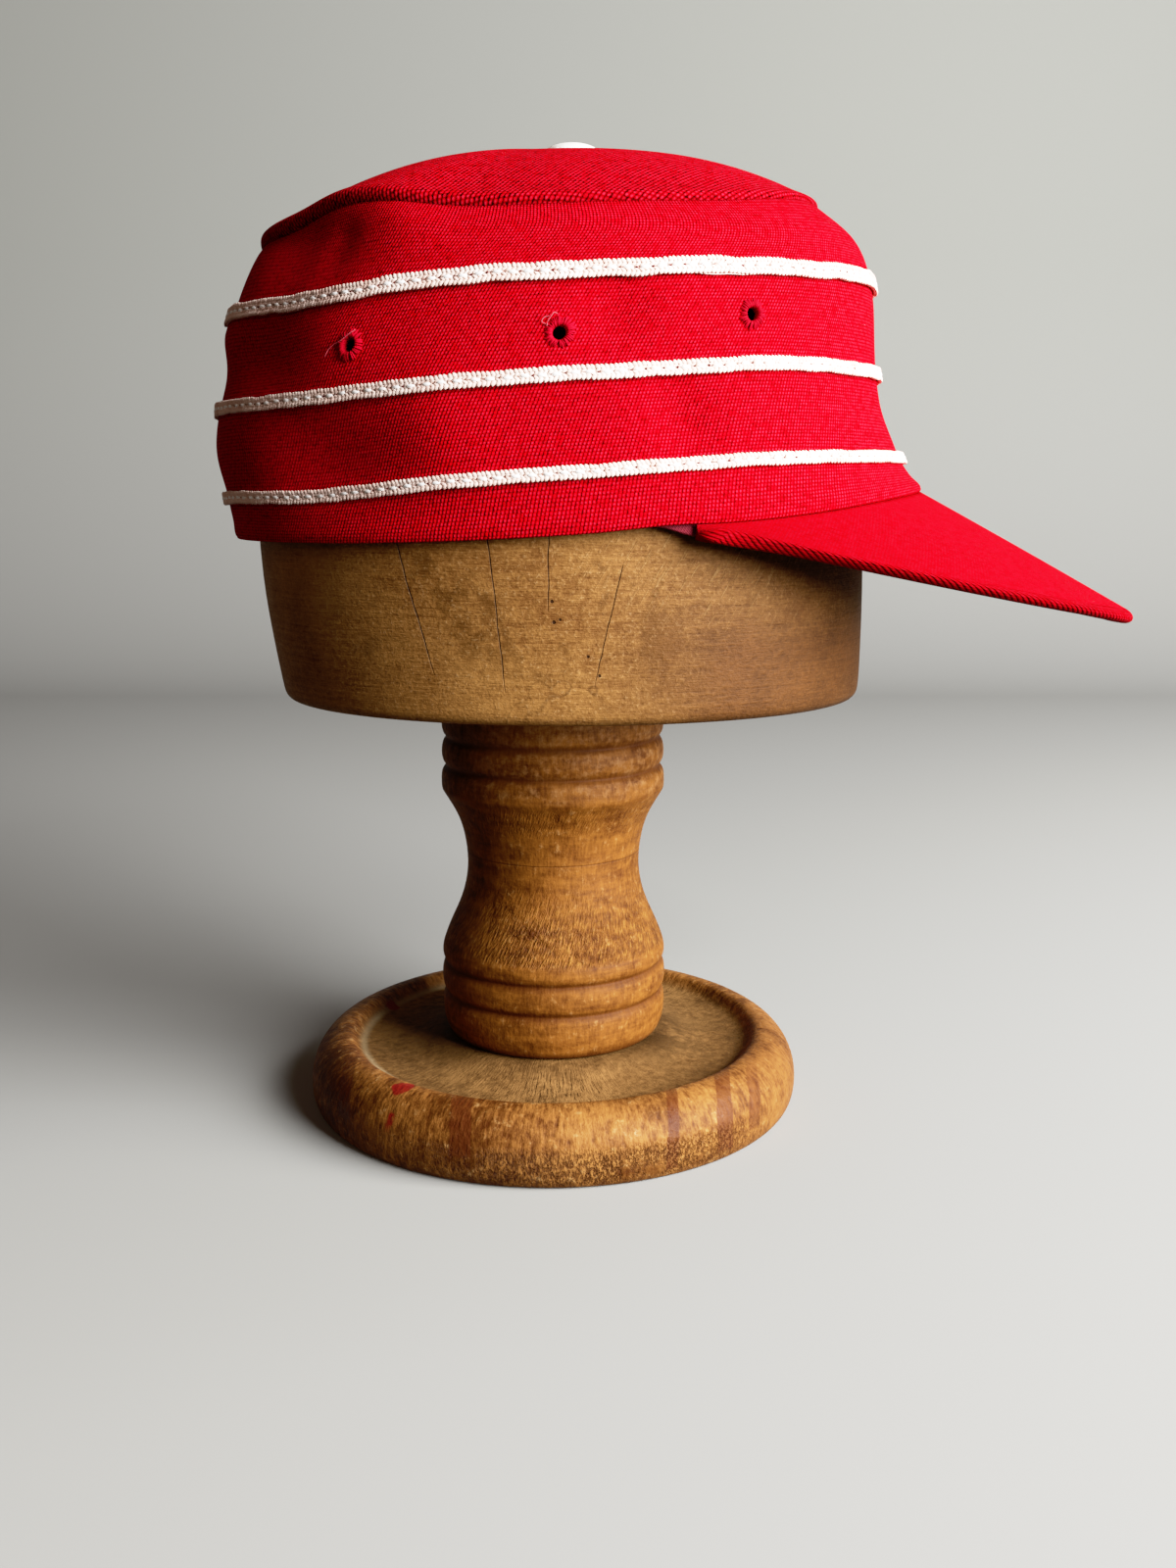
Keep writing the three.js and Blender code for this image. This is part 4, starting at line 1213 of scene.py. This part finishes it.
# Stage: a plain pale floor that sweeps up into a backdrop, and soft light from the right
stage = {
    "floorHalf": 2.2, "backY": 1.5, "backHeight": 2.4, "bend": 0.5, "blend": 0.6, "floorTone": "9f9f9c",
    "wallTone": "a0a19c", "roomTint": "f2d4bc", "roomStrength": 0.05,
}
lights = [
    {"name": "key", "place": (1.189, -0.714, 0.65), "aim": (0.0, 0.0, 0.18), "size": (1.3, 1.0),
     "power": 80, "tint": "ffffff"},
    {"name": "fill", "place": (-0.7, -1.5, 1.1), "aim": (0, 0, 0.2), "size": (1.2, 1.2),
     "power": 1.7, "tint": "ffd8bc"},
    {"name": "backdropWash", "place": (0.9, 0.45, 1.2), "aim": (0.3, 1.5, 0.6), "size": (0.8, 0.8),
     "power": 3.5, "tint": "ffffff"},
]
# Film response: brightness in, as a share of its white, and brightness out
film = {
    "white": 1.72,
    "points": (
        (0.0, 0.0), (0.004, 0.004), (0.012, 0.022), (0.03, 0.068), (0.1, 0.25), (0.2, 0.49), (0.32, 0.71),
        (0.48, 0.86), (0.7, 0.95), (1.0, 1.0),
    ),
}


def addStage():
    bpy.ops.object.select_all(action="DESELECT")
    middle = (0, stage["backY"] - stage["floorHalf"], 0)
    bpy.ops.mesh.primitive_plane_add(size=2 * stage["floorHalf"], location=middle)
    floor = bpy.context.object
    floor.name = "floorSweep"
    bpy.ops.object.transform_apply(location=True)
    bpy.ops.object.mode_set(mode="EDIT")
    bpy.ops.mesh.select_all(action="DESELECT")
    bpy.ops.object.mode_set(mode="OBJECT")
    for edge in floor.data.edges:
        ends = [floor.data.vertices[v].co.y for v in edge.vertices]
        edge.select = min(ends) > stage["backY"] - mm
    bpy.ops.object.mode_set(mode="EDIT")
    bpy.ops.mesh.select_mode(type="EDGE")
    bpy.ops.mesh.extrude_edges_move(TRANSFORM_OT_translate={"value": (0, 0, stage["backHeight"])})
    bpy.ops.object.mode_set(mode="OBJECT")
    applyModifier(floor, "BEVEL", width=stage["bend"], segments=16, limit_method="ANGLE")
    bpy.ops.object.shade_smooth()
    pale = Finish("paleFloor")
    height = pale.parts(pale.place())[2]
    pale.set(colour=pale.mix(height.ease(0.0, stage["blend"]), stage["floorTone"], stage["wallTone"]))
    pale.set(roughness=0.9, specular=0.1)
    floor.data.materials.append(pale.material)
    floor.visible_diffuse = False    # the pale floor throws no light back up


def addLights():
    for lamp in lights:
        bpy.ops.object.light_add(type="AREA", location=lamp["place"])
        made = bpy.context.object
        made.name = lamp["name"]
        made.data.shape = "RECTANGLE"
        made.data.size, made.data.size_y = lamp["size"]
        made.data.energy = lamp["power"]
        made.data.color = colour(lamp["tint"])[:3]
        aim = Vector(lamp["aim"]) - Vector(lamp["place"])
        made.rotation_euler = aim.to_track_quat("-Z", "Y").to_euler()
    world = bpy.data.worlds.new("studio")
    world.use_nodes = True
    room = world.node_tree.nodes["Background"].inputs
    room["Color"].default_value = colour(stage["roomTint"])
    room["Strength"].default_value = stage["roomStrength"]
    bpy.context.scene.world = world


def setFilm():
    view = bpy.context.scene.view_settings
    view.view_transform = "Standard"
    view.use_curve_mapping = True
    curves = view.curve_mapping
    curves.white_level = (film["white"],) * 3
    line = curves.curves[3]
    line.points[0].location = film["points"][0]
    line.points[1].location = film["points"][-1]
    for place in film["points"][1:-1]:
        line.points.new(*place)
    curves.update()


addStage()
addLights()
setFilm()
print("stage and lights set")
